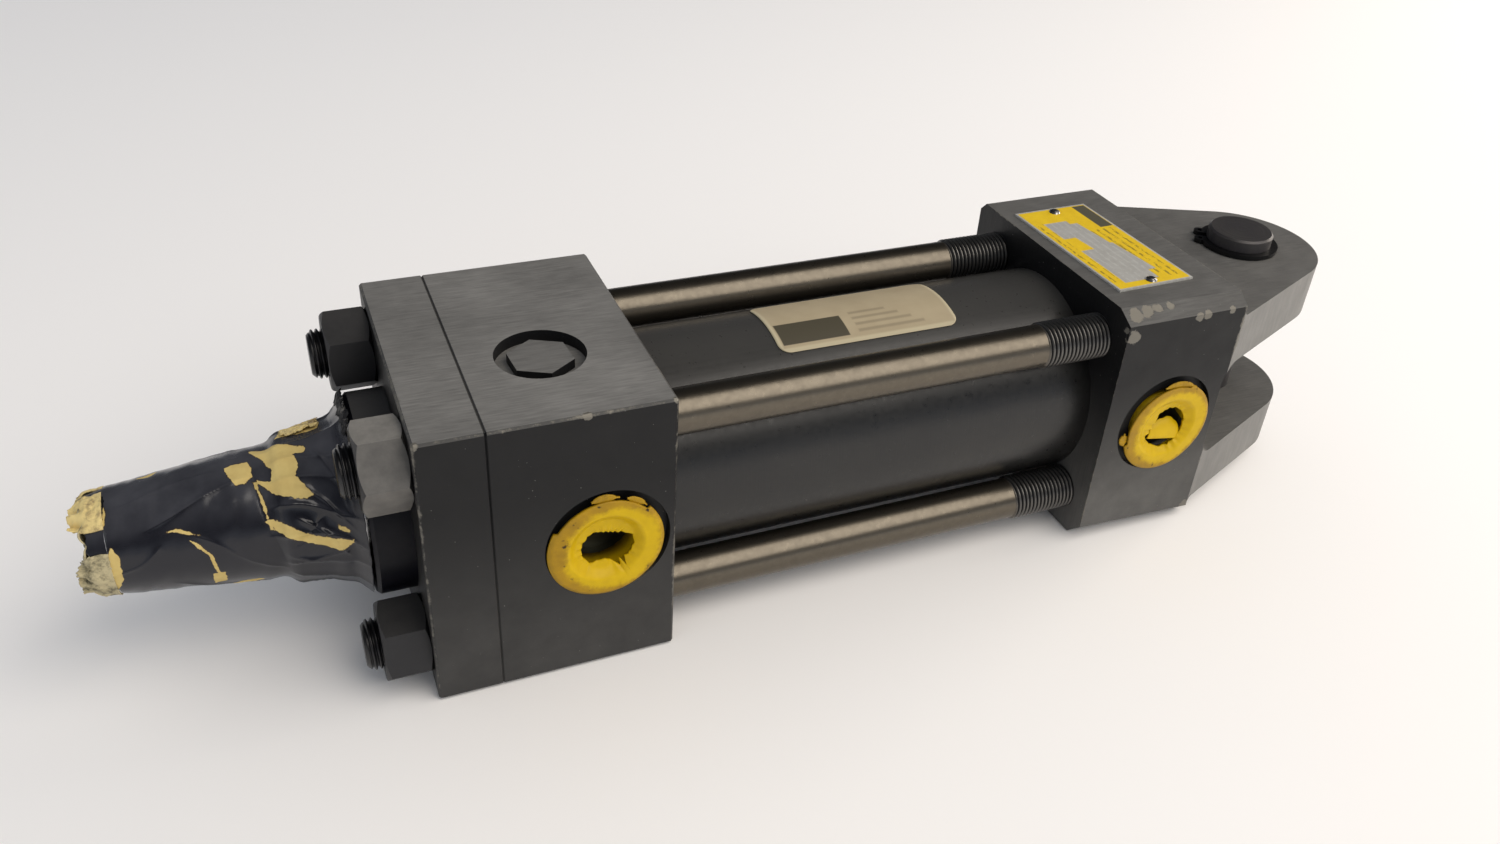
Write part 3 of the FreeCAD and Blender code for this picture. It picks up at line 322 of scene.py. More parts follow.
def moulded_polyethylene(name, x, z):
    """Soft yellow polyethylene, injection moulded: waxy and bright round a point, with a
    handled band beyond it that has gone ochre and picked up dirt."""
    material, node, place = new_material(name)
    away = node("VectorMath", place, (x * MM, FACE_Y * MM, z * MM), operation="DISTANCE")
    grime = node("TexNoise", place, 220.0, 6.0, 0.7)
    spots = node("TexNoise", place, 500.0, 3.0)
    reach = node("Math", grime, 0.005, away, operation="MULTIPLY_ADD")
    band = node("MapRange", reach, 0.0134, 0.0156, interpolation_type="SMOOTHSTEP")
    handled = node("Mix", grime, linear("bf9408"), linear("7c5e18"), data_type="RGBA")
    clean = node("Mix", spots, linear("d4b000"), linear("c09c00"), data_type="RGBA")
    colour = node("Mix", band, clean, handled, data_type="RGBA")
    dirt = node("MapRange", spots, 0.64, 0.72)
    dirty = node("Math", dirt, band, operation="MULTIPLY")
    dark = node("Mix", dirty, colour, linear("2c2010"), data_type="RGBA")
    wax = node("Bump", Strength=0.15, Distance=0.0003, Height=grime)
    shader = node("BsdfPrincipled", Base_Color=dark, Roughness=0.42, Specular_IOR_Level=0.25,
                  Normal=wax)
    node("OutputMaterial", shader)
    return material


def masking_paint():
    """Black paint brushed over paper masking tape: glossy and wrinkled, lightened to grey where it
    faces up as painted sheen, and flaked off to the cream tape wherever the flake attribute is
    over zero."""
    material, node, place = new_material("painted_masking_tape")
    flake = node("Attribute", output="Fac", attribute_name="flake")
    ragged = node("TexNoise", place, 650.0, 5.0, 0.65)
    torn = node("Math", ragged, 1.3, flake, operation="MULTIPLY_ADD")
    bare = node("MapRange", torn, 0.64, 0.7)
    rim = node("MapRange", torn, 0.46, 0.66)
    fibres = node("TexNoise", place, 300.0, 6.0)
    paper = node("Mix", fibres, linear("dec67c"), linear("b89a56"), data_type="RGBA")
    soot = node("TexNoise", place, 90.0, 4.0)
    paint = node("Mix", soot, linear("0d0e14"), linear("202027"), data_type="RGBA")
    # painted sheen: the paint is lightened to grey where it faces up
    normal = node("NewGeometry", output="Normal")
    up = node("VectorMath", normal, (-0.1, -0.2, 0.97), operation="DOT_PRODUCT")
    laid = node("MapRange", up, 0.6, 1.0, 0.0, 0.36, interpolation_type="SMOOTHSTEP")
    dusted_and_lit = node("Math", laid, soot, operation="MULTIPLY")
    paint = node("Mix", dusted_and_lit, paint, linear("85858a"), data_type="RGBA")
    edge = node("Mix", rim, paint, linear("3c2c1c"), data_type="RGBA")
    colour = node("Mix", bare, edge, paper, data_type="RGBA")
    gloss = node("MapRange", soot, 0.3, 0.7, 0.14, 0.28)
    dull = node("Mix", bare, gloss, 0.75)
    crepe = node("Bump", Strength=0.25, Distance=0.0004, Height=soot)
    step = node("Bump", Strength=0.5, Distance=0.0002, Height=bare, Normal=crepe, invert=True)
    shader = node("BsdfPrincipled", Base_Color=colour, Roughness=dull, Normal=step)
    node("OutputMaterial", shader)
    return material


def crumpled_paper(name, pale, smeared, share):
    """Torn masking paper: dull cream, with smears of paint and fine fibres."""
    material, node, place = new_material(name)
    smear = node("TexNoise", place, 260.0, 6.0, 0.7)
    ramp = node("MapRange", smear, 0.62 - share, 0.78 - share)
    colour = node("Mix", ramp, linear(pale), linear(smeared), data_type="RGBA")
    fibre = node("Bump", Strength=0.3, Distance=0.0003, Height=smear)
    shader = node("BsdfPrincipled", Base_Color=colour, Roughness=0.7, Normal=fibre)
    node("OutputMaterial", shader)
    return material


def box_mask(node, x, y, low, high, soft=0.12):
    """1 inside a rectangle of a flat print and 0 outside it, all in mm."""
    left = node("Math", x, low[0] * MM, operation="SUBTRACT")
    right = node("Math", high[0] * MM, x, operation="SUBTRACT")
    down = node("Math", y, low[1] * MM, operation="SUBTRACT")
    up = node("Math", high[1] * MM, y, operation="SUBTRACT")
    across = node("Math", left, right, operation="MINIMUM")
    along = node("Math", down, up, operation="MINIMUM")
    inside = node("Math", across, along, operation="MINIMUM")
    return node("MapRange", inside, -soft * MM, soft * MM)


def lacquered_plate(turn):
    """Yellow lacquer printed on a thin aluminium plate: a bare rim, a bare field for stamping
    and one plain brown block, with no lettering."""
    material, node, place = new_material("lacquered_aluminium_plate")
    middle = (PLATE[0] + PLATE[1]) / 2
    own = node("Mapping", place, tuple(middle * MM), (0.0, 0.0, turn), vector_type="TEXTURE")
    x, y, _ = node("SeparateXYZ", own).node.outputs
    slant = node("Math", y, 0.1, x, operation="MULTIPLY_ADD")
    scuffs = node("TexNoise", place, 330.0, 6.0, 0.7)
    lacquer = node("Mix", scuffs, linear("ecc800"), linear("cda400"), data_type="RGBA")
    metal = node("Mix", scuffs, linear("cfccc4"), linear("a9a59c"), data_type="RGBA")
    field = box_mask(node, x, y, (-8.6, 6.0), (-0.5, 16.4))
    for low, high in (((-4.0, -4.0), (3.4, 14.2)), ((-8.4, -22.2), (3.2, -2.0))):
        more = box_mask(node, slant if low[1] > -10 else x, y, low, high)
        field = node("Math", field, more, operation="MAXIMUM")
    slope = box_mask(node, slant, y, (0.0, -17.5), (4.2, 0.0))
    field = node("Math", field, slope, operation="MAXIMUM")
    inner = box_mask(node, x, y, (-12.1, -24.8), (12.1, 24.8), 0.1)
    bare = node("Math", 1.0, inner, operation="SUBTRACT")
    bare = node("Math", bare, field, operation="MAXIMUM")
    block = box_mask(node, x, y, (7.4, 9.7), (11.9, 24.4))
    printed = node("Mix", block, lacquer, linear("54503f"), data_type="RGBA")
    pressed = node("Mapping", own, Scale=(1.0, 0.35, 1.0))
    strokes = node("TexNoise", pressed, 1900.0, 1.0)
    across = node("Math", x, TAU / (2.3 * MM), operation="MULTIPLY")
    rows = node("Math", across, operation="SINE")
    lined = node("MapRange", rows, 0.3, 0.6)
    inked = node("MapRange", strokes, 0.44, 0.5)
    marks = node("Math", lined, inked, operation="MULTIPLY")
    near = box_mask(node, x, y, (-3.0, -22.5), (11.4, 8.6))
    beside = box_mask(node, x, y, (-11.2, -21.0), (-8.8, 17.0))
    texted = node("Math", near, beside, operation="MAXIMUM")
    text = node("Math", marks, texted, operation="MULTIPLY")
    faint = node("Math", text, 0.6, operation="MULTIPLY")
    printed = node("Mix", faint, printed, linear("4a4024"), data_type="RGBA")
    stamped = node("Math", marks, 0.5, operation="MULTIPLY")
    metal = node("Mix", stamped, metal, linear("d2d0c8"), data_type="RGBA")
    colour = node("Mix", bare, printed, metal, data_type="RGBA")
    shine = node("Math", bare, 0.35, operation="MULTIPLY")
    dents = node("TexNoise", place, 120.0, 3.0)
    dented = node("Bump", Strength=0.25, Distance=0.0004, Height=dents)
    etched = node("Bump", Strength=0.5, Distance=0.0001, Height=bare, Normal=dented, invert=True)
    shader = node("BsdfPrincipled", Base_Color=colour, Roughness=0.45, Metallic=shine,
                  Normal=etched)
    node("OutputMaterial", shader)
    return material


def printed_film():
    """Aged paper label: buff, paler along its rim, with one plain dark block in its corner;
    the mesh's first texture layer runs over it in mm."""
    material, node, place = new_material("printed_paper_label")
    flat = node("UVMap")
    x, y, _ = node("SeparateXYZ", flat).node.outputs
    fade = node("TexNoise", place, 120.0, 5.0)
    buff = node("Mix", fade, linear("b3a384"), linear("9c8c6e"), data_type="RGBA")
    width, height = LABEL_HALF, LABEL_ARC / 2
    inner = box_mask(node, x, y, (1.2 - width, 1.4 - height), (width - 0.8, height - 0.8), 0.3)
    ground = node("Mix", inner, linear("b8ab8b"), buff, data_type="RGBA")
    block = box_mask(node, x, y, (1.6 - width, 2.4 - height), (21 - width, 10.4 - height))
    colour = node("Mix", block, ground, linear("4b4535"), data_type="RGBA")
    for row in range(4):
        line = box_mask(node, x, y, (24 - width, 3 + row * 2.4 - height),
                        (44 - row * 3 - width, 4.0 + row * 2.4 - height), 0.25)
        faint = node("Math", line, 0.45, operation="MULTIPLY")
        colour = node("Mix", faint, colour, linear("6d624c"), data_type="RGBA")
    shader = node("BsdfPrincipled", Base_Color=colour, Roughness=0.5)
    node("OutputMaterial", shader)
    return material


def ground_pin():
    """Blackened pin whose faced end keeps faint rings round its own axis."""
    material, node, place = new_material("faced_blackened_pin")
    middle = (PIN[0] + PIN[1]) / 2
    centred = node("VectorMath", place, tuple(middle * MM), operation="SUBTRACT")
    flat = node("VectorMath", centred, (1.0, 1.0, 0.0), operation="MULTIPLY")
    radius = node("VectorMath", flat, operation="LENGTH")
    rings = node("TexNoise", node("CombineXYZ", X=radius), 900.0, 4.0)
    cloud = node("TexNoise", place, 110.0, 5.0)
    colour = node("Mix", cloud, linear("4c4945"), linear("37353a"), data_type="RGBA")
    faced = node("Bump", Strength=0.35, Distance=0.0003, Height=rings)
    shader = node("BsdfPrincipled", Base_Color=colour, Roughness=0.42, Metallic=0.45, Normal=faced)
    node("OutputMaterial", shader)
    return material


# ---------------------------------------------------------------- meshes
def write_mesh(name, points, faces, material, body):
    """Makes a smooth object from points in mm and rides it on a CAD body."""
    mesh = bpy.data.meshes.new(name)
    mesh.from_pydata((points.reshape(-1, 3) * MM).tolist(), [], faces)
    mesh.polygons.foreach_set("use_smooth", [True] * len(mesh.polygons))
    mesh.materials.append(material)
    mesh.update()
    made = bpy.data.objects.new(name, mesh)
    bpy.context.scene.collection.objects.link(made)
    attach(made, body)
    return made


def grid_quads(rows, columns, closed):
    """Quads of a grid of points whose columns close on themselves, and its rows too if closed
    is set: each joins a point, the next in its row and the two in the next row."""
    row, column = np.meshgrid(np.arange(rows if closed else rows - 1), np.arange(columns),
                              indexing="ij")
    next_row, next_column = (row + 1) % rows, (column + 1) % columns
    return np.stack([row * columns + column, row * columns + next_column,
                     next_row * columns + next_column, next_row * columns + column],
                    -1).reshape(-1, 4)


def tube_mesh(name, grid, material, body):
    """A closed skin over a grid of points, rings along the first axis, with a fan at each end
    that closes it at the mean of the end ring."""
    rings, columns = grid.shape[:2]
    points = np.concatenate([grid.reshape(-1, 3), grid[0].mean(0)[None],
                             grid[-1].mean(0)[None]])
    one = np.arange(columns)
    two = (one + 1) % columns
    first, last = rings * columns, rings * columns + 1
    start = np.stack([np.full(columns, first), two, one], -1)
    end = np.stack([np.full(columns, last), one + (rings - 1) * columns,
                    two + (rings - 1) * columns], -1)
    faces = grid_quads(rings, columns, False).tolist() + start.tolist() + end.tolist()
    return write_mesh(name, points, faces, material, body)


def ring_mesh(name, grid, material, body):
    """A closed ring: the grid closes both round its columns and round its rows."""
    return write_mesh(name, grid, grid_quads(*grid.shape[:2], True).tolist(), material, body)


def sheet_mesh(name, grid, thickness, material, body):
    """A thin closed sheet: the grid of points is one side, and the other side lies a thickness
    behind it along the grid's own normals; each row runs across one side and back across the
    other, so the sheet is a flat tube whose ends are closed by strips."""
    normal = np.cross(np.gradient(grid, axis=0), np.gradient(grid, axis=1))
    normal /= np.maximum(np.linalg.norm(normal, axis=2, keepdims=True), 1e-9)
    back = grid - normal * thickness
    loop = np.concatenate([grid, back[:, ::-1]], axis=1)
    rows, columns = loop.shape[:2]
    quads = grid_quads(rows, columns, False)[:, [0, 3, 2, 1]]
    one = np.arange(columns // 2 - 1)
    start = np.stack([one, one + 1, columns - 2 - one, columns - 1 - one], -1)
    end = start[:, ::-1] + (rows - 1) * columns
    faces = np.concatenate([quads, start, end]).tolist()
    return write_mesh(name, loop, faces, material, body)


def round_axis(x, radius, angle):
    """Points at a place along the cylinder, a radius and an angle from straight up towards the
    ports."""
    x, radius, angle = np.broadcast_arrays(x, radius, angle)
    return np.stack([x, -radius * np.sin(angle), AXIS + radius * np.cos(angle)], -1)


def steps(rows, columns, first=0):
    """Even steps from 0 to 1 down the rows and from first to 1 across the columns."""
    return np.linspace(0, 1, rows)[:, None], np.linspace(first, 1, columns)[None, :]


def smooth(t):
    """0 below 0, 1 above 1 and an even ease between them."""
    t = np.clip(t, 0, 1)
    return t * t * (3 - 2 * t)


# ---------------------------------------------------------------- tie rods
POINTS_PER_PITCH = 9


def thread_lift(x, angle, start, end, pitch, depth):
    """Height of a thread's flank above its root, a rounded ridge that climbs one pitch a turn,
    and how much of the thread there is: it fades in and out over its first and last half
    turn."""
    phase = (x - start) / pitch - angle / TAU
    ridge = np.clip((0.5 - 0.5 * np.cos(phase * TAU)) * 1.35 - 0.1, 0, 1)
    inside = smooth((x - start) / (pitch * 0.5) + 0.5) * smooth((end - x) / (pitch * 0.5) + 0.5)
    return ridge * depth, inside


def tie_rod_grid(low, high, sizes):
    """Points of one tie rod: a shank between a rolled thread at the nut and one at the cap."""
    centre_y, centre_z = (low[1] + high[1]) / 2, (low[2] + high[2]) / 2
    crest = (high[1] - low[1]) / 2
    root = crest - sizes.thread_depth
    shank = crest - sizes.shank_step
    start, end = low[0], high[0]
    bevel = 1.3
    fine = sizes.thread_pitch / POINTS_PER_PITCH
    front = np.arange(start, RETAINER[0][0] + 1, fine)
    rear_start = CAP[0][0] - sizes.thread_shown
    rear = np.arange(rear_start - 1.5, CAP[0][0] + 2, fine)
    x = np.concatenate([front, [RETAINER[1][0], HEAD[1][0] - 1, rear_start - 3], rear, [end]])
    x, angle = np.meshgrid(x, np.linspace(0, TAU, 40, endpoint=False), indexing="ij")
    radius = np.full(x.shape, shank)
    for first, last in ((start - 2, RETAINER[0][0] + 4), (rear_start, end + 3)):
        ridge, inside = thread_lift(x, angle, first, last, sizes.thread_pitch,
                                    sizes.thread_depth)
        radius = radius * (1 - inside) + (root + ridge) * inside
    radius = np.minimum(radius, crest - bevel + (x - start))
    return np.stack([x, centre_y + radius * np.cos(angle), centre_z + radius * np.sin(angle)],
                    -1)


# ---------------------------------------------------------------- port plugs
FACE_THICKNESS = 0.7
SLIVER_THICKNESS = 0.5


def plug_height(radius, depth):
    """Height of a plug's face over the block at a radius: a sunken web, a rounded dish and a
    flat rim that falls away at its edge."""
    dish = smooth((radius - 7.0) / 3.0)
    rim = 0.75 - 0.9 * smooth((radius - 12.9) / 2.2) ** 2
    return -depth + (depth + rim) * dish


def outline_radius(corners, angle):
    """Distance from the middle to a star-shaped outline of (x, z) corners, at each angle,
    straight between corners."""
    x, z = np.array(corners).T
    bearing = np.arctan2(z, x)
    order = np.argsort(bearing)
    bearing, x, z = bearing[order], x[order], z[order]
    after = np.roll(np.arange(len(x)), -1)
    turned = (angle - bearing[0]) % TAU
    starts = (bearing - bearing[0]) % TAU
    index = np.searchsorted(starts, turned, side="right") - 1
    x0, z0, x1, z1 = x[index], z[index], x[after[index]], z[after[index]]
    dx, dz = np.cos(angle), np.sin(angle)
    return (x0 * (z1 - z0) - z0 * (x1 - x0)) / (dx * (z1 - z0) - dz * (x1 - x0))


def torn_plug(name, centre, hole, middle, rim_at, depth, material):
    """A push-in plug's face with a hole torn through its web.  Points run out from the hole's
    middle: from the hole's outline, roughened by short waves, to the rim, whose radius is
    rim_at of the bearing from the plug's own centre; heights follow plug_height, sagging a
    little towards the tear."""
    angle = np.linspace(0, TAU, 420, endpoint=False)
    shifted = [(x - middle[0], z - middle[1]) for x, z in hole]
    inner = outline_radius(shifted, angle) + ring_noise(5, 0, angle * 4, 18, 0.12)
    outer = np.full(angle.shape, 14.0)
    for _ in range(8):      # enough for the rim to settle along each bearing
        bearing = np.arctan2(middle[1] + outer * np.sin(angle),
                             middle[0] + outer * np.cos(angle))
        reach = rim_at(bearing)
        along = middle[0] * np.cos(angle) + middle[1] * np.sin(angle)
        outer = -along + np.sqrt(along ** 2 - middle[0] ** 2 - middle[1] ** 2 + reach ** 2)
    share = np.linspace(0, 1, 60)[:, None]
    radius = inner + (outer - inner) * share
    x = middle[0] + radius * np.cos(angle)
    z = middle[1] + radius * np.sin(angle)
    height = plug_height(np.hypot(x, z), depth)
    sag = np.exp(-(radius - inner) / 1.2) * (0.5 + ring_noise(9, 0, angle * 3, 14, 0.5))
    wavy = ring_noise(6, radius, angle, 12, 0.08)
    front = np.stack([centre[0] + x, FACE_Y - height + sag + wavy, centre[1] + z], -1)
    front[..., 1] = np.maximum(front[..., 1], FACE_Y - 0.78)
    back = front[::-1] + np.array([0, FACE_THICKNESS, 0])
    return ring_mesh(name, np.concatenate([front, back]), material, "barrel")


def rim_of(full, torn, gap):
    """A rim radius that follows the bearing: full, but torn back to a smaller, slightly ragged
    radius between the two bearings of gap, in degrees, with a quick slope at each end."""
    first, last = (math.radians(value) for value in gap)

    def rim_at(bearing):
        turned = (bearing - first) % TAU
        inside = smooth(turned / 0.06) * smooth((last - first - turned) / 0.06)
        return full + (torn - full + ring_noise(4, 0, bearing * 6, 12, 0.05)) * inside

    return rim_at


def plug_skirt(name, centre, material):
    """The push-in skirt behind a plug's face: a plain thin tube into the port."""
    angle = np.linspace(0, TAU, 96, endpoint=False)
    outline = ((9.9, 0.6), (9.9, 8.9), (8.9, 8.9), (8.7, 4.0), (8.6, 0.9))
    rows = [np.stack([centre[0] + radius * np.cos(angle), np.full(96, FACE_Y + deep),
                      centre[1] + radius * np.sin(angle)], -1) for radius, deep in outline]
    return ring_mesh(name, np.stack(rows), material, "barrel")


def plug_piece(name, centre, bearings, radii, lift, material):
    """A sliver of a plug: a curved strip between two bearings, in degrees, and two radii that
    narrow to its ends, standing a lift over the block, with rough edges."""
    share, across = steps(40, 7)
    angle = np.radians(bearings[0] + (bearings[1] - bearings[0]) * share)
    taper = np.sin(np.clip(share * 1.15 - 0.02, 0.03, 0.99) * math.pi) ** 0.45
    middle = (radii[0] + radii[1]) / 2
    half = (radii[1] - radii[0]) / 2 * taper
    rough = ring_noise(int(bearings[0]), 0, share * 9, 10, 0.10)
    radius = middle + (across * 2 - 1) * half + rough
    height = lift + 0.25 * np.sin(across * math.pi) + rough * 0.6
    grid = np.stack(np.broadcast_arrays(
        centre[0] + radius * np.cos(angle), FACE_Y - height,
        centre[1] + radius * np.sin(angle)), -1)
    return sheet_mesh(name, grid, SLIVER_THICKNESS, material, "barrel")


def torn_flap(name, centre, edge, fold, depth, thickness, material):
    """A tongue of torn web hanging into the port: from a line between two points (x, z) on
    the hole's edge it curls inwards over a quarter turn towards fold, an (x, z) step."""
    share, along = steps(24, 16)
    start = np.array(edge[0]) + (np.array(edge[1]) - np.array(edge[0])) * along[..., None]
    length = np.hypot(*fold) * (0.55 + 0.45 * np.sin(along * math.pi)
                                + ring_noise(12, 0, along * 5, 8, 0.10))
    way = np.array(fold) / np.hypot(*fold)
    turn = share * 1.15
    out = length * np.sin(turn) / 1.15
    deep = depth + length * (1 - np.cos(turn)) / 1.15 * 0.7
    x = start[..., 0] + way[0] * out + ring_noise(13, share * 6, along * 4, 8, 0.12)
    z = start[..., 1] + way[1] * out
    grid = np.stack(np.broadcast_arrays(centre[0] + x, FACE_Y + deep, centre[1] + z), -1)
    return sheet_mesh(name, grid, thickness, material, "barrel")


PLUGS = (
    # end, shift of its centre, its clean middle, the hole's outline and middle, its rim (whole
    # and torn radius, torn bearings in degrees), depth, and slivers (bearings, radii, lift)
    ("front", (-0.6, -0.9), (1.6, -0.6),
     [(-5.9, -0.2), (-4.3, 2.9), (-2.1, 3.7), (4.1, 2.3), (7.1, 0.8), (7.5, -1.9), (6.0, -5.1),
      (5.0, -5.4), (5.1, -7.4), (3.8, -7.6), (3.6, -5.5), (0.2, -5.2), (-3.8, -5.7),
      (-5.6, -3.0)],
     (0.4, -1.2), (14.6, 13.8, (40, 152)), 1.2,
     (("_plug_sliver", (104, 77), (13.5, 15.8), 0.1),
      ("_plug_chip", (69, 46), (13.5, 15.4), 0.1))),
    ("rear", (1.3, -1.7), (1.2, -0.4),
     [(-5.6, -3.4), (-4.2, -0.6), (-3.0, 2.4), (-2.2, 4.4), (0.2, 5.6), (3.2, 5.3), (5.8, 3.6),
      (7.4, 0.4), (7.2, -2.8), (5.6, -5.6), (3.2, -7.5), (0.2, -7.8), (-3.6, -6.0)],
     (0.9, -1.2), (14.3, 13.4, (66, 196)), 0.7,
     (("_plug_sliver", (106, 60), (13.2, 15.3), 0.1),
      ("_plug_tab", (194, 178), (13.2, 16.0), 0.0))))


# ---------------------------------------------------------------- label
def label_sheet(material):
    """The tube's paper label with rounded corners: near each long edge its ends draw in by a
    quarter circle; the texture layer holds mm along and round the tube."""
    middle_x, half_x = (LABEL[0][0] + LABEL[1][0]) / 2 + LABEL_SHIFT, LABEL_HALF
    half_arc = LABEL_ARC / 2
    arc = half_arc * np.sin(np.linspace(-math.pi / 2, math.pi / 2, 61))
    inset = np.clip(LABEL_CORNER - (half_arc - np.abs(arc)), 0, LABEL_CORNER)
    reach = half_x - LABEL_CORNER + np.sqrt(np.maximum(LABEL_CORNER ** 2 - inset ** 2, 0))
    along = np.linspace(-1, 1, 90)[:, None] * reach
    angle = -arc / TUBE_RADIUS
    radius = TUBE_RADIUS + 0.16
    grid = round_axis(middle_x + along, radius, np.broadcast_to(angle, along.shape))
    made = sheet_mesh("printed_label", grid[:, ::-1], 0.12, material, "barrel")
    flat = np.stack([along, np.broadcast_to(arc, along.shape)], -1)[:, ::-1]
    loop = np.concatenate([flat, flat[:, ::-1]], axis=1).reshape(-1, 2) * MM
    layer = made.data.uv_layers.new(name="mm")
    corners = np.empty(len(made.data.loops), np.int32)
    made.data.loops.foreach_get("vertex_index", corners)
    layer.data.foreach_set("uv", loop[corners].ravel())
    return made


# ---------------------------------------------------------------- wrapping
def ring_noise(seed, s, angle, waves, amplitude):
    """A wandering height that closes round the axis: a sum of waves with random numbers of
    turns, lengths and phases, the same for the same seed."""
    random = np.random.default_rng(seed)
    total = np.zeros(np.broadcast(s, angle).shape)
    for _ in range(waves):
        turns = random.integers(1, 9)
        length = random.uniform(6, 34)
        phase = random.uniform(0, TAU)
        total += np.cos(turns * angle + s / length * TAU + phase) / turns ** 0.5
    return total * amplitude / waves ** 0.5


def run_mean(s):
    """The wrapping's plain radius at a distance from its tip: straight tapers between the
    tip, the rod's shoulder and the gland's boss, averaged over 1.6 mm."""
    stations = [0, 2, 6, 16, 26, 36, 41, 43.4, 46, 51, 57, 60.5]
    radii = [11.4, 11.9, 12.8, 13.8, 14.9, 15.8, 16.4, 18.3, 18.5, 19.0, 20.9, 25.6]
    return sum(np.interp(s + shift, stations, radii) for shift in (-0.8, 0, 0.8)) / 3


CREASE_ARC, FLAKE_ARC = 16, 14     # radii at which folds and flakes are laid out flat

CREASES = [
    # from (mm from the tip, degrees) to the same; height, width and bow of the line in mm
    (14, 48, 36, 20, 0.55, 0.8, 0.6), (5, 96, 16, 70, 0.35, 0.7, 0.8),
    (37, 8, 41, 100, -0.6, 0.9, 0.5), (40, 30, 60, 44, 0.6, 0.8, 0.8),
    (41, 52, 60, 66, 0.7, 0.7, 0.9), (40, 74, 60, 84, 0.8, 0.8, 0.8),
    (43, 96, 60, 100, 0.7, 0.8, 0.7), (43, 118, 60, 122, 0.6, 0.8, 0.8),
    (38, -4, 60, 4, 0.5, 0.9, 0.8), (41, 16, 60, 24, 0.5, 0.7, 0.6),
    (42, 142, 60, 140, 0.7, 0.9, 0.8), (41, 166, 60, 162, 0.6, 0.8, 0.8),
    (42, 192, 60, 186, 0.7, 0.9, 0.8), (41, 216, 60, 210, 0.6, 0.8, 0.8),
    (42, 238, 60, 232, 0.7, 0.9, 0.8), (41, 262, 60, 256, 0.6, 0.8, 0.8),
    (42, 286, 60, 280, 0.7, 0.9, 0.8), (41, 312, 60, 304, 0.6, 0.8, 0.8),
    (42, 336, 60, 330, 0.6, 0.8, 0.8), (18, 120, 40, 150, 0.4, 0.9, 0.8),
    (12, 200, 38, 230, 0.5, 0.9, 0.8), (10, 300, 36, 330, 0.4, 0.9, 0.8),
    (46, 62, 56, 94, 0.6, 0.5, 0.5), (52, 12, 57, 60, 0.4, 0.4, 0.4),
    (44, 84, 52, 64, -0.6, 0.6, 0.4), (38, 27, 40, 88, 0.35, 0.45, 0.2),
    (23, 66, 41, 108, 0.3, 0.6, 0.9), (8, 20, 30, 6, 0.3, 0.7, 0.8),
    (47, 40, 58, 74, 0.5, 0.45, 0.5), (42, 104, 56, 88, 0.5, 0.5, 0.6),
]


def segment_gap(s, q, ends):
    """Distance in mm from the straight line between two points, and the share of the way along
    it."""
    (s0, q0), (s1, q1) = ends
    length = math.hypot(s1 - s0, q1 - q0)
    ds, dq = (s1 - s0) / length, (q1 - q0) / length
    along = ((s - s0) * ds + (q - q0) * dq) / length
    gap = (s - s0) * dq - (q - q0) * ds
    return gap, along


def wrap_radius(s, angle):
    """Radius of the wrapping's outside: its plain radius, a slow wander, and folds, each a
    sharp crest that dies away on both sides and towards its ends."""
    radius = run_mean(s) - 0.25 * smooth((s - 38) / 4)
    loose = smooth((s - 1) / 6) * smooth((61 - s) / 3)
    radius = radius + ring_noise(3, s, angle, 12, 0.16) * (0.35 + 0.65 * loose)
    radius = radius + ring_noise(8, s * 3, angle * 2, 16, 0.07) * loose
    for s0, a0, s1, a1, height, width, bow in CREASES:
        middle = math.radians((a0 + a1) / 2)
        turned = (angle - middle + math.pi) % TAU - math.pi
        q0, q1 = ((math.radians(a) - middle) * CREASE_ARC for a in (a0, a1))
        gap, along = segment_gap(s, turned * CREASE_ARC, ((s0, q0), (s1, q1)))
        gap = gap + bow * np.sin(along * 5 + s0)
        fade = smooth(along * 4 + 0.4) * smooth((1 - along) * 4 + 0.4)
        radius = radius + height * np.exp(-np.abs(gap) / width) * fade
    return np.maximum(radius, np.where(s > SHOULDER - 0.6, ROD_RADIUS + 0.25, 0.0))


def polygon_depth(s, q, corners):
    """How far inside an outline each point lies, in mm, and negative outside it: the distance
    to the nearest side, signed by how many sides a line from the point crosses."""
    nearest = np.full(s.shape, 1e9)
    inside = np.zeros(s.shape, bool)
    for (s0, q0), (s1, q1) in zip(corners, corners[1:] + corners[:1]):
        ds, dq = s1 - s0, q1 - q0
        share = np.clip(((s - s0) * ds + (q - q0) * dq) / max(ds * ds + dq * dq, 1e-9), 0, 1)
        nearest = np.minimum(nearest, np.hypot(s - s0 - share * ds, q - q0 - share * dq))
        crosses = (q0 > q) != (q1 > q)
        at = s0 + (q - q0) / (dq if dq else 1e-9) * ds
        inside ^= crosses & (s < at)
    return np.where(inside, nearest, -nearest)


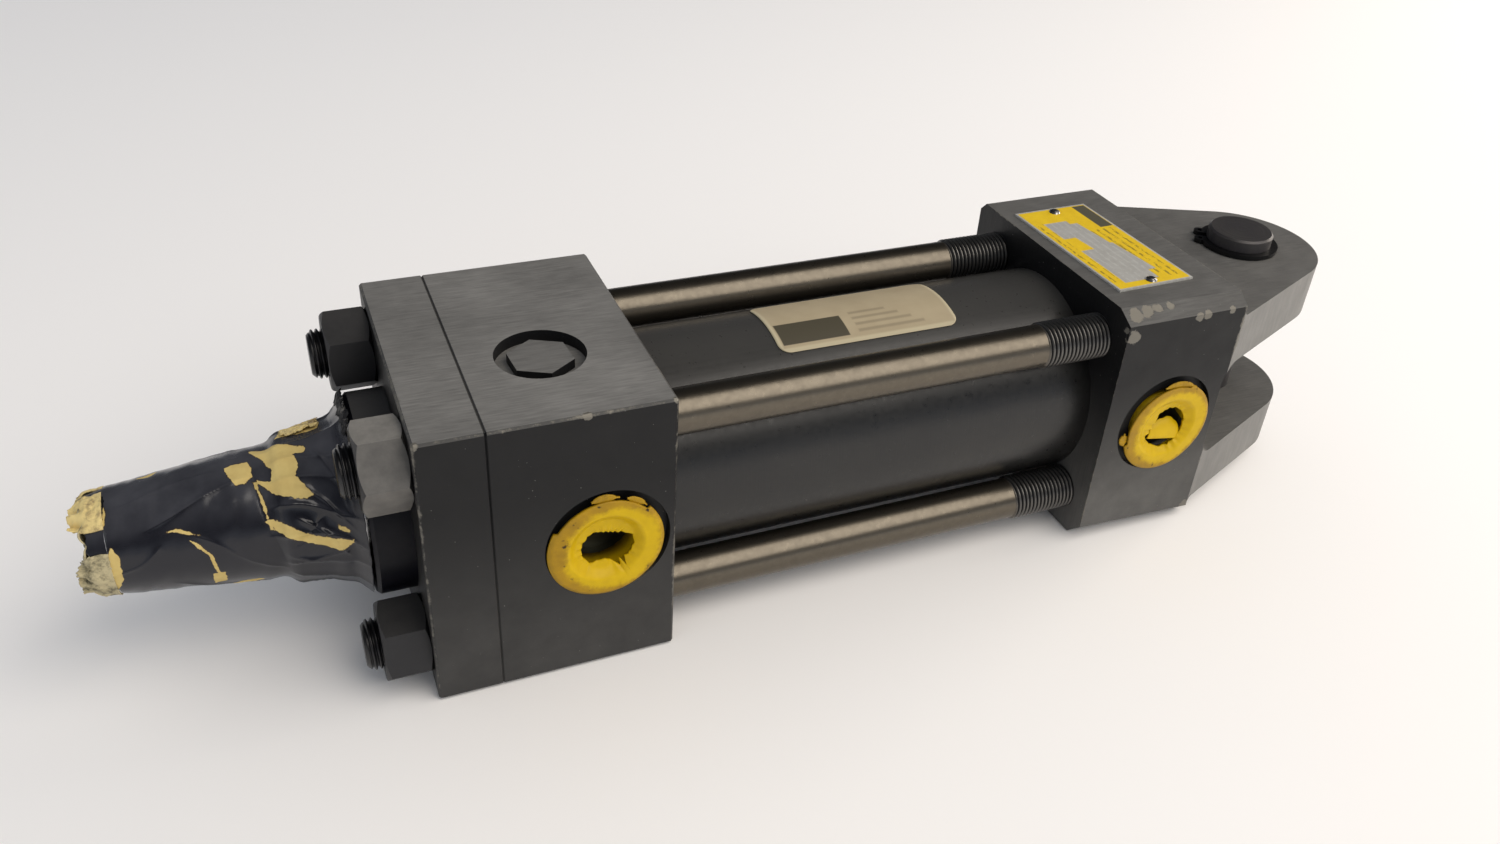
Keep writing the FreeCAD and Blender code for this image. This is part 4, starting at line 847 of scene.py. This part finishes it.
FLAKES = [
    # outlines in (mm from the tip, degrees from straight up)
    [(37.2, -14), (41, -7), (46.5, 3), (50, 8), (49.6, 13), (47, 13), (47.8, 22),
     (46.8, 32), (50, 48), (48.4, 50), (44, 46), (41, 40), (38.2, 27), (38.4, 25), (41.4, 31),
     (41.8, 21), (40.2, 8), (38.6, -2)],
    [(31.8, 5), (33.2, 2), (36.8, 3), (37.5, 12), (37.4, 20), (36, 26), (33.6, 27), (33, 20),
     (32.2, 15)],
    [(38.6, 62), (40.2, 60.5), (42.8, 65.5), (45.6, 72), (49, 77.5), (52.4, 80.5), (57.2, 82),
     (56.4, 86), (53.4, 91.5), (51, 88), (45.2, 80.5), (41, 72)],
    [(37.2, 25), (38.1, 27), (39.1, 43), (39.6, 60), (39, 60), (38.4, 44)],
    [(39, 60), (39.8, 60), (40.2, 70), (39.4, 70)],
    [(17, 55.5), (20, 53.5), (24.6, 63.5), (22.5, 62), (20, 57)],
    [(22, 66), (24, 71), (26.2, 84), (27.3, 108), (26.5, 108), (25.5, 84), (23.2, 73)],
    [(25.4, 107), (28.2, 106), (28, 124), (25.2, 127)],
    [(2.6, -8), (4.6, -4), (5.4, 6), (6, 22), (5.6, 37), (4, 42), (2, 34), (1.4, 10)],
    [(6, 60), (7.4, 72), (7.2, 98), (5.4, 116), (2, 110), (1.2, 90), (3, 76), (5, 72)],
    [(25, 141), (35, 132), (36, 139), (26, 149)], [(53.8, 71), (56.6, 76), (56, 78), (54, 74)],
    [(43.5, -13), (53.5, -9), (54, -18), (45, -24)], [(12, -20), (16, -16), (17, -26)],
]


def flake_depth(s, angle):
    """Greatest depth inside any of the flaked outlines, in mm."""
    turned = (angle + math.pi / 3) % TAU - math.pi / 3
    q = turned * FLAKE_ARC
    deepest = np.full(s.shape, -9.0)
    for outline in FLAKES:
        corners = [(s0, math.radians(a0) * FLAKE_ARC) for s0, a0 in outline]
        deepest = np.maximum(deepest, polygon_depth(s, q, corners))
    return np.clip(deepest, -3, 3)


def paper_lobe(name, middle, spread, reach, seed, material):
    """A torn lobe of paper at the wrapping's tip.  It leaves the tape 5 mm along, runs out past
    the tape's edge by a reach that falls off from its middle bearing (degrees) to its sides,
    and draws in towards the axis, folding more and more as it goes."""
    share, across = steps(60, 90, -1)
    angle = np.radians(middle + spread * across) + ring_noise(seed, share * 5, across, 8, 0.05)
    rag = ring_noise(seed + 30, 0, across * 11, 18, 0.8)
    tip = 1.2 - np.maximum(reach * (1 - across ** 4) + rag, 0.0)
    s = 5.2 + (np.maximum(tip, 0.15 - PAPER) - 5.2) * share
    past = smooth((1.8 - s) / 4.0)
    fold = np.abs(np.sin(angle * 9 + seed + share * 2.5)) * 2.2 - 0.9
    fold = fold + np.abs(np.sin(angle * 5 - share * 4 + seed)) * 0.8
    lift = run_mean(s) + 0.22 + 0.25 * fold * smooth((4.5 - s) / 3)
    radius = lift - past * (2.4 + 1.6 * across ** 2) + fold * past
    radius = radius + ring_noise(seed + 60, s * 6, angle * 6, 14, 0.14)
    grid = round_axis(WRAP_START + s, np.minimum(radius, lift + 1.0), angle)
    return sheet_mesh(name, grid, 0.22, material, "rod")


def crumpled_end(name, material):
    """The wrapping's end, folded in over the rod: a disc pleated along its radii."""
    around = np.linspace(0, TAU, 240, endpoint=False)
    rows = []
    for side in (0, 1):
        radii = np.linspace(0.3, 11.4, 30)
        for radius in radii if side == 0 else radii[::-1]:
            pleat = np.abs(np.sin(around * 7 + 0.25 * radius)) + 0.6 * np.abs(
                np.sin(around * 4 - 0.4 * radius))
            deep = 0.5 + (0.9 - pleat) * 1.1 * smooth(radius / 4)
            deep = deep + ring_noise(71, radius * 4, around * 4, 12, 0.12) + side * 0.4
            rows.append(round_axis(WRAP_START + deep, radius, around))
    return tube_mesh(name, np.stack(rows), material, "rod")


def torn_strip(name, reach, bearings, lift, material):
    """A torn strip of paper that stands off the tape by up to a lift, with ragged ends."""
    share, across = steps(50, 60)
    low = reach[0] + 1.6 + ring_noise(41, 0, across * 9, 14, 0.7)
    high = reach[1] - np.maximum(ring_noise(42, 0, across * 11, 14, 0.8) + 0.6, 0)
    s = low + (high - low) * share
    rough = ring_noise(43, 0, share * 9, 12, 0.05)
    angle = np.radians(bearings[0] + (bearings[1] - bearings[0]) * across) + rough
    stand = lift * smooth(share * 1.2) * (0.6 + 0.4 * np.sin(across * 17 + share * 3))
    radius = run_mean(s) + 0.3 + stand + ring_noise(44, s * 4, angle * 8, 12, 0.08)
    grid = round_axis(WRAP_START + s, radius, angle)
    return sheet_mesh(name, grid, 0.15, material, "rod")


# ---------------------------------------------------------------- settings
class CylinderFinish(bpy.types.PropertyGroup):
    """Sizes of the threads on the tie rods, in mm."""

    thread_pitch: bpy.props.FloatProperty(
        name="Thread Pitch", description="Rise of the tie rods' thread in one turn, in mm",
        default=1.27, min=0.5, max=3.0)
    thread_depth: bpy.props.FloatProperty(
        name="Thread Depth", description="From the thread's crest to its root, in mm",
        default=0.75, min=0.1, max=1.5)
    thread_shown: bpy.props.FloatProperty(
        name="Thread Shown", description="Length of bare thread in front of the cap, in mm",
        default=19.5, min=4.0, max=30.0)
    shank_step: bpy.props.FloatProperty(
        name="Shank Step", description="From the thread's crest down to the shank, in mm",
        default=0.5, min=0.0, max=1.5)


class CylinderStage(bpy.types.PropertyGroup):
    """Camera and lamps."""

    camera_place: bpy.props.FloatVectorProperty(
        name="Camera", description="Place of the camera", default=(-0.12795, -0.2599, 0.2331),
        subtype="TRANSLATION", unit="LENGTH")
    camera_turn: bpy.props.FloatVectorProperty(
        name="Camera Turn", description="Rotation of the camera",
        default=tuple(math.radians(a) for a in (56.595, -3.296, -22.758)), subtype="EULER")
    lens: bpy.props.FloatProperty(
        name="Lens", description="Focal length for a 36 mm wide sensor", default=29.9,
        subtype="DISTANCE_CAMERA")
    key_power: bpy.props.FloatProperty(
        name="Window Power", description="Power of the soft lamp beside the clevis",
        default=5.5, subtype="POWER")
    top_power: bpy.props.FloatProperty(
        name="Ceiling Power", description="Power of the wide lamp overhead", default=13.0,
        subtype="POWER")


class ObjectOperator:
    """What the operators share: undo, and the sizes they read."""

    bl_options = {"REGISTER", "UNDO"}

    @property
    def finish(self):
        return bpy.context.scene.cylinder_finish


def paint(names, material):
    """Gives CAD nodes one material, and changes nothing else."""
    for name in names:
        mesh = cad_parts[name].data
        mesh.materials.clear()
        mesh.materials.append(material)


class CYLINDER_OT_blocks(ObjectOperator, bpy.types.Operator):
    """Paints the retainer, head and cap"""

    bl_idname = "cylinder.blocks"
    bl_label = "Blocks"

    def execute(self, context):
        left, right = CAP[0][0], CAP[0][0] + CAP_LENGTH
        shift = np.array([30, 0, 0])
        plate, head = (RETAINER[0], RETAINER[1] + shift), (HEAD[0] - shift, HEAD[1])
        # the three shares after the chips are grey for top, foot and flank: a dusting with painted
        # sheen, a painted floor reflection and painted side light
        paint(["retainer_plate"], milled_enamel("enamelled_retainer", plate, [
            (RETAINER[0][0] + 0.4, FACE_Y + 0.3, 75.9, 1.2)], (0.56, 0.14, 0.0), 1.6))
        paint(["front_head"], milled_enamel("enamelled_head", head, [
            (HEAD[1][0], FACE_Y, 76, 1.6), (HEAD[1][0] - 21.5, FACE_Y + 0.2, 76, 1.4)],
            (0.58, 0.13, 0.0), 1.6))
        body = (CAP[0], np.array([right, CAP[1][1], CAP[1][2]]))
        paint(["rear_cap"], milled_enamel("enamelled_cap", body, [
            (left + 2.0, FACE_Y + 0.2, 69.6, 2.4), (left + 1.4, FACE_Y + 1.2, 71.6, 1.9),
            (left + 3.6, FACE_Y + 3.2, 74.2, 2.6), (left + 7.4, FACE_Y + 3.6, 74.6, 2.4),
            (left + 11.0, FACE_Y + 3.7, 74.9, 2.0), (left + 15.0, FACE_Y + 3.8, 75.2, 1.5),
            (left + 23.4, FACE_Y + 0.2, 72.4, 1.7), (left + 26.0, FACE_Y + 0.2, 72.7, 1.7),
            (left + 34.6, FACE_Y + 0.3, 72.9, 1.4), (right, FACE_Y, 3, 3.4),
            (left + 20, FACE_Y, 2, 2.0)], (0.38, 0.30, 0.66), 0.5))
        return {"FINISHED"}


class CYLINDER_OT_tie_rods(ObjectOperator, bpy.types.Operator):
    """Adds the four tie rods with their threads, and paints the nuts"""

    bl_idname = "cylinder.tie_rods"
    bl_label = "Tie Rods"

    def execute(self, context):
        steel = drawn_rod(self.finish)
        for name in ("tie_rod_1", "tie_rod_2", "tie_rod_3", "tie_rod_4"):
            grid = tie_rod_grid(*node_box(name), self.finish)
            made = tube_mesh(name + "_threaded", grid, steel, "barrel")
            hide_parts(name)
        paint(["tie_rod_nuts"], nut_with_painted_light())
        return {"FINISHED"}


class CYLINDER_OT_tube(ObjectOperator, bpy.types.Operator):
    """Paints the tube and the pieces inside, and adds the tube's label"""

    bl_idname = "cylinder.tube"
    bl_label = "Tube"

    def execute(self, context):
        paint(["cylinder_tube"], turned_enamel("enamelled_drawn_tube", "0b0b0b", 0.31, "151412",
                                               0.6))
        made = label_sheet(printed_film())
        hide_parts("tube_label")
        paint(["tube_seal_front", "tube_seal_rear", "piston_wear_ring"],
              plain_finish("pressed_fibre", "4a3524", 0.0, 0.7))
        paint(["rod_wiper", "rod_lip_seal", "gland_o_ring", "piston_seal_front",
               "piston_seal_rear"], plain_finish("moulded_nitrile", "121212", 0.0, 0.55))
        paint(["gland_bush"], turned_enamel("enamelled_turned_gland", "0a0a10", 0.42,
                                            "0e0e16", 0.2))
        paint(["piston", "cushion_sleeve"], plain_finish("turned_iron", "8a8680", 1.0, 0.35))
        paint(["piston_rod"], plain_finish("hard_chrome_plate", "d8d8da", 1.0, 0.12))
        return {"FINISHED"}


class CYLINDER_OT_fittings(ObjectOperator, bpy.types.Operator):
    """Paints the pin, its rings, the head's small plug and the nameplate"""

    bl_idname = "cylinder.fittings"
    bl_label = "Fittings"

    def execute(self, context):
        paint(["clevis_pin"], ground_pin())
        paint(["pin_snap_rings"], plain_finish("black_spring_steel", "0b0b0d", 0.3, 0.4))
        # its top is greyed by a dusting together with painted sheen
        paint(["head_check_plug"], milled_enamel("enamelled_turned_plug", HEAD, [],
                                                 (0.44, 0.0, 0.0), -9.0))
        paint(["nameplate"], lacquered_plate(math.radians(1.4)))
        paint(["nameplate_rivets"], plain_finish("domed_aluminium", "c8c8c8", 1.0, 0.25))
        return {"FINISHED"}


class CYLINDER_OT_port_plugs(ObjectOperator, bpy.types.Operator):
    """Adds the two torn transit plugs over the ports"""

    bl_idname = "cylinder.port_plugs"
    bl_label = "Port Plugs"

    def execute(self, context):
        for end, shift, clean, hole, middle, rim, depth, slivers in PLUGS:
            low, high = node_box(end + "_port_plug")
            centre = ((low[0] + high[0]) / 2 + shift[0], AXIS + shift[1])
            yellow = moulded_polyethylene("moulded_polyethylene_" + end,
                                          centre[0] + clean[0], centre[1] + clean[1])
            pieces = [torn_plug(end + "_plug_face", centre, hole, middle, rim_of(*rim), depth,
                                yellow),
                      plug_skirt(end + "_plug_skirt", centre, yellow)]
            for name, bearings, radii, lift in slivers:
                pieces.append(plug_piece(end + name, centre, bearings, radii, lift, yellow))
            if end == "rear":
                pieces.append(torn_flap("rear_plug_flap", centre, ((-5.2, -3.6), (5.6, -5.6)),
                                        (2.6, 6.6), 1.0, 0.4, yellow))
            for made in pieces:
                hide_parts(end + "_port_plug")
        return {"FINISHED"}


class CYLINDER_OT_wrap(ObjectOperator, bpy.types.Operator):
    """Adds the painted masking tape round the rod's end, and its torn paper"""

    bl_idname = "cylinder.wrap"
    bl_label = "Wrapping"

    def execute(self, context):
        length = WRAP[1][0] - WRAP_START
        around = np.linspace(0, TAU, 360, endpoint=False)
        first = 1.2 + ring_noise(21, 0, around * 5, 12, 0.35)
        last = length - 0.3 + ring_noise(22, 0, around * 6, 12, 0.15)
        share = np.linspace(0, 1, 230)[:, None]
        s = first + (last - first) * share
        angle = np.broadcast_to(around, s.shape)
        outer = round_axis(WRAP_START + s, wrap_radius(s, angle), angle)
        inside = [(last, ROD_RADIUS), (SHOULDER - 0.4, ROD_RADIUS),
                  (SHOULDER - 0.5, STUD_RADIUS), (4.0, 12.3), (first + 0.1, 11.2)]
        inner = [round_axis(WRAP_START + np.broadcast_to(at, around.shape), radius, around)
                 for at, radius in inside]
        made = tube_mesh("painted_wrap", np.concatenate([outer, np.stack(inner)]),
                         masking_paint(), "rod")
        flake = made.data.attributes.new("flake", "FLOAT", "POINT")
        values = np.full(len(made.data.vertices), -3.0, np.float32)
        values[:s.size] = flake_depth(s, angle).ravel()
        flake.data.foreach_set("value", values)

        cream = crumpled_paper("torn_masking_paper", "dcc482", "8a7350", 0.12)
        olive = crumpled_paper("smeared_masking_paper", "bcae86", "59533c", 0.16)
        black = crumpled_paper("painted_torn_paper", "8d877c", "1b1b1e", 0.32)
        pieces = [made, crumpled_end("crumpled_end", olive)]
        for number, (name, middle, spread, reach, paper) in enumerate((
                ("upper_paper", 16, 25, 3.5, cream), ("lower_paper", 106, 38, 3.5, olive),
                ("low_paper", 168, 30, 2.4, cream), ("far_paper", 236, 36, 2.8, olive),
                ("back_paper", 306, 32, 2.2, cream))):
            pieces.append(paper_lobe(name, middle, spread, reach, number, paper))
        pieces.append(torn_strip("lifted_paper", (43.5, 54), (-27, -11), 0.5, cream))
        pieces.append(torn_strip("torn_mouth", (57.0, length + 0.6), (-40, 16), 1.3, black))
        for piece in pieces:
            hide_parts("rod_wrap")
        return {"FINISHED"}


class CYLINDER_OT_stage(ObjectOperator, bpy.types.Operator):
    """Adds the pale floor, the lamps, the sky and the camera"""

    bl_idname = "cylinder.stage"
    bl_label = "Stage"

    def execute(self, context):
        scene = context.scene
        stage = scene.cylinder_stage
        half, low = 6000.0, -0.3
        corners = np.array([[-half, -half, low], [half, -half, low], [half, half, low],
                            [-half, half, low]])
        mesh = bpy.data.meshes.new("floor")
        mesh.from_pydata((corners * MM).tolist(), [], [[0, 1, 2, 3]])
        floor = bpy.data.objects.new("floor", mesh)
        material, node, _ = new_material("pale_matt_board")
        shader = node("BsdfPrincipled", Base_Color=linear("f8f4ef"), Roughness=0.9)
        node("OutputMaterial", shader)
        mesh.materials.append(material)
        scene.collection.objects.link(floor)

        lamps = (("window", (1.25, 0.15, 0.42), 0.6, stage.key_power, "fff4e6"),
                 ("ceiling", (0.50, -0.65, 1.05), 1.2, stage.top_power, "fff8ef"))
        for name, place, size, power, colour in lamps:
            lamp = bpy.data.lights.new(name, "AREA")
            lamp.size = size
            lamp.energy = power
            lamp.color = linear(colour)[:3]
            made = bpy.data.objects.new(name, lamp)
            made.location = place
            made.rotation_mode = "QUATERNION"
            made.rotation_quaternion = (-made.location).to_track_quat("-Z", "Y")
            scene.collection.objects.link(made)

        world = bpy.data.worlds.new("studio")
        scene.world = world
        world.use_nodes = True
        world.node_tree.nodes.clear()
        node = partial(add_node, world.node_tree)
        way = node("TexCoord", output="Generated")
        height = node("SeparateXYZ", way, output="Z")
        facing = node("VectorMath", way, (0.25, -0.97, 0.0), operation="DOT_PRODUCT")
        front = node("MapRange", facing, -0.6, 0.6, 0.16, 0.8, interpolation_type="SMOOTHSTEP")
        room = node("MapRange", height, -0.1, 0.4, 1.0, 0.07, interpolation_type="SMOOTHSTEP")
        seen = node("Math", front, room, operation="MULTIPLY")
        glossy = node("LightPath", output="Is Glossy Ray")
        low = node("MapRange", height, 0.05, 0.6, 1.25, 0.46)
        glow = node("Mix", glossy, low, seen)
        sky = node("Background", linear("e6edf9"), glow)
        node("OutputWorld", sky)

        camera = bpy.data.cameras.new("camera")
        camera.lens = stage.lens
        camera.sensor_width = 36
        camera.shift_x = -0.0042
        camera.shift_y = -0.0151
        camera.clip_start = 0.01
        made = bpy.data.objects.new("camera", camera)
        made.location = stage.camera_place
        made.rotation_euler = stage.camera_turn
        scene.collection.objects.link(made)
        scene.camera = made
        scene.view_settings.view_transform = "Standard"
        return {"FINISHED"}


class CYLINDER_PT_panel(bpy.types.Panel):
    """Lists the cylinder's pieces"""

    bl_idname = "CYLINDER_PT_panel"
    bl_label = "Tie-Rod Cylinder"
    bl_space_type = "VIEW_3D"
    bl_region_type = "UI"
    bl_category = "Cylinder"

    def draw(self, context):
        for group in (context.scene.cylinder_finish, context.scene.cylinder_stage):
            for name in group.__annotations__:
                self.layout.prop(group, name)
        for operator in OPERATORS:
            self.layout.operator(operator.bl_idname)


OPERATORS = (CYLINDER_OT_blocks, CYLINDER_OT_tie_rods, CYLINDER_OT_tube, CYLINDER_OT_fittings,
             CYLINDER_OT_port_plugs, CYLINDER_OT_wrap, CYLINDER_OT_stage)
CLASSES = (CylinderFinish, CylinderStage, *OPERATORS, CYLINDER_PT_panel)


def register():
    for cls in CLASSES:
        bpy.utils.register_class(cls)
    bpy.types.Scene.cylinder_finish = bpy.props.PointerProperty(type=CylinderFinish)
    bpy.types.Scene.cylinder_stage = bpy.props.PointerProperty(type=CylinderStage)


def unregister():
    del bpy.types.Scene.cylinder_stage
    del bpy.types.Scene.cylinder_finish
    for cls in reversed(CLASSES):
        bpy.utils.unregister_class(cls)


def main():
    register()
    bpy.ops.cylinder.blocks()
    bpy.ops.cylinder.tie_rods()
    bpy.ops.cylinder.tube()
    bpy.ops.cylinder.fittings()
    bpy.ops.cylinder.port_plugs()
    bpy.ops.cylinder.wrap()
    bpy.ops.cylinder.stage()


if __name__ == "__main__":
    main()
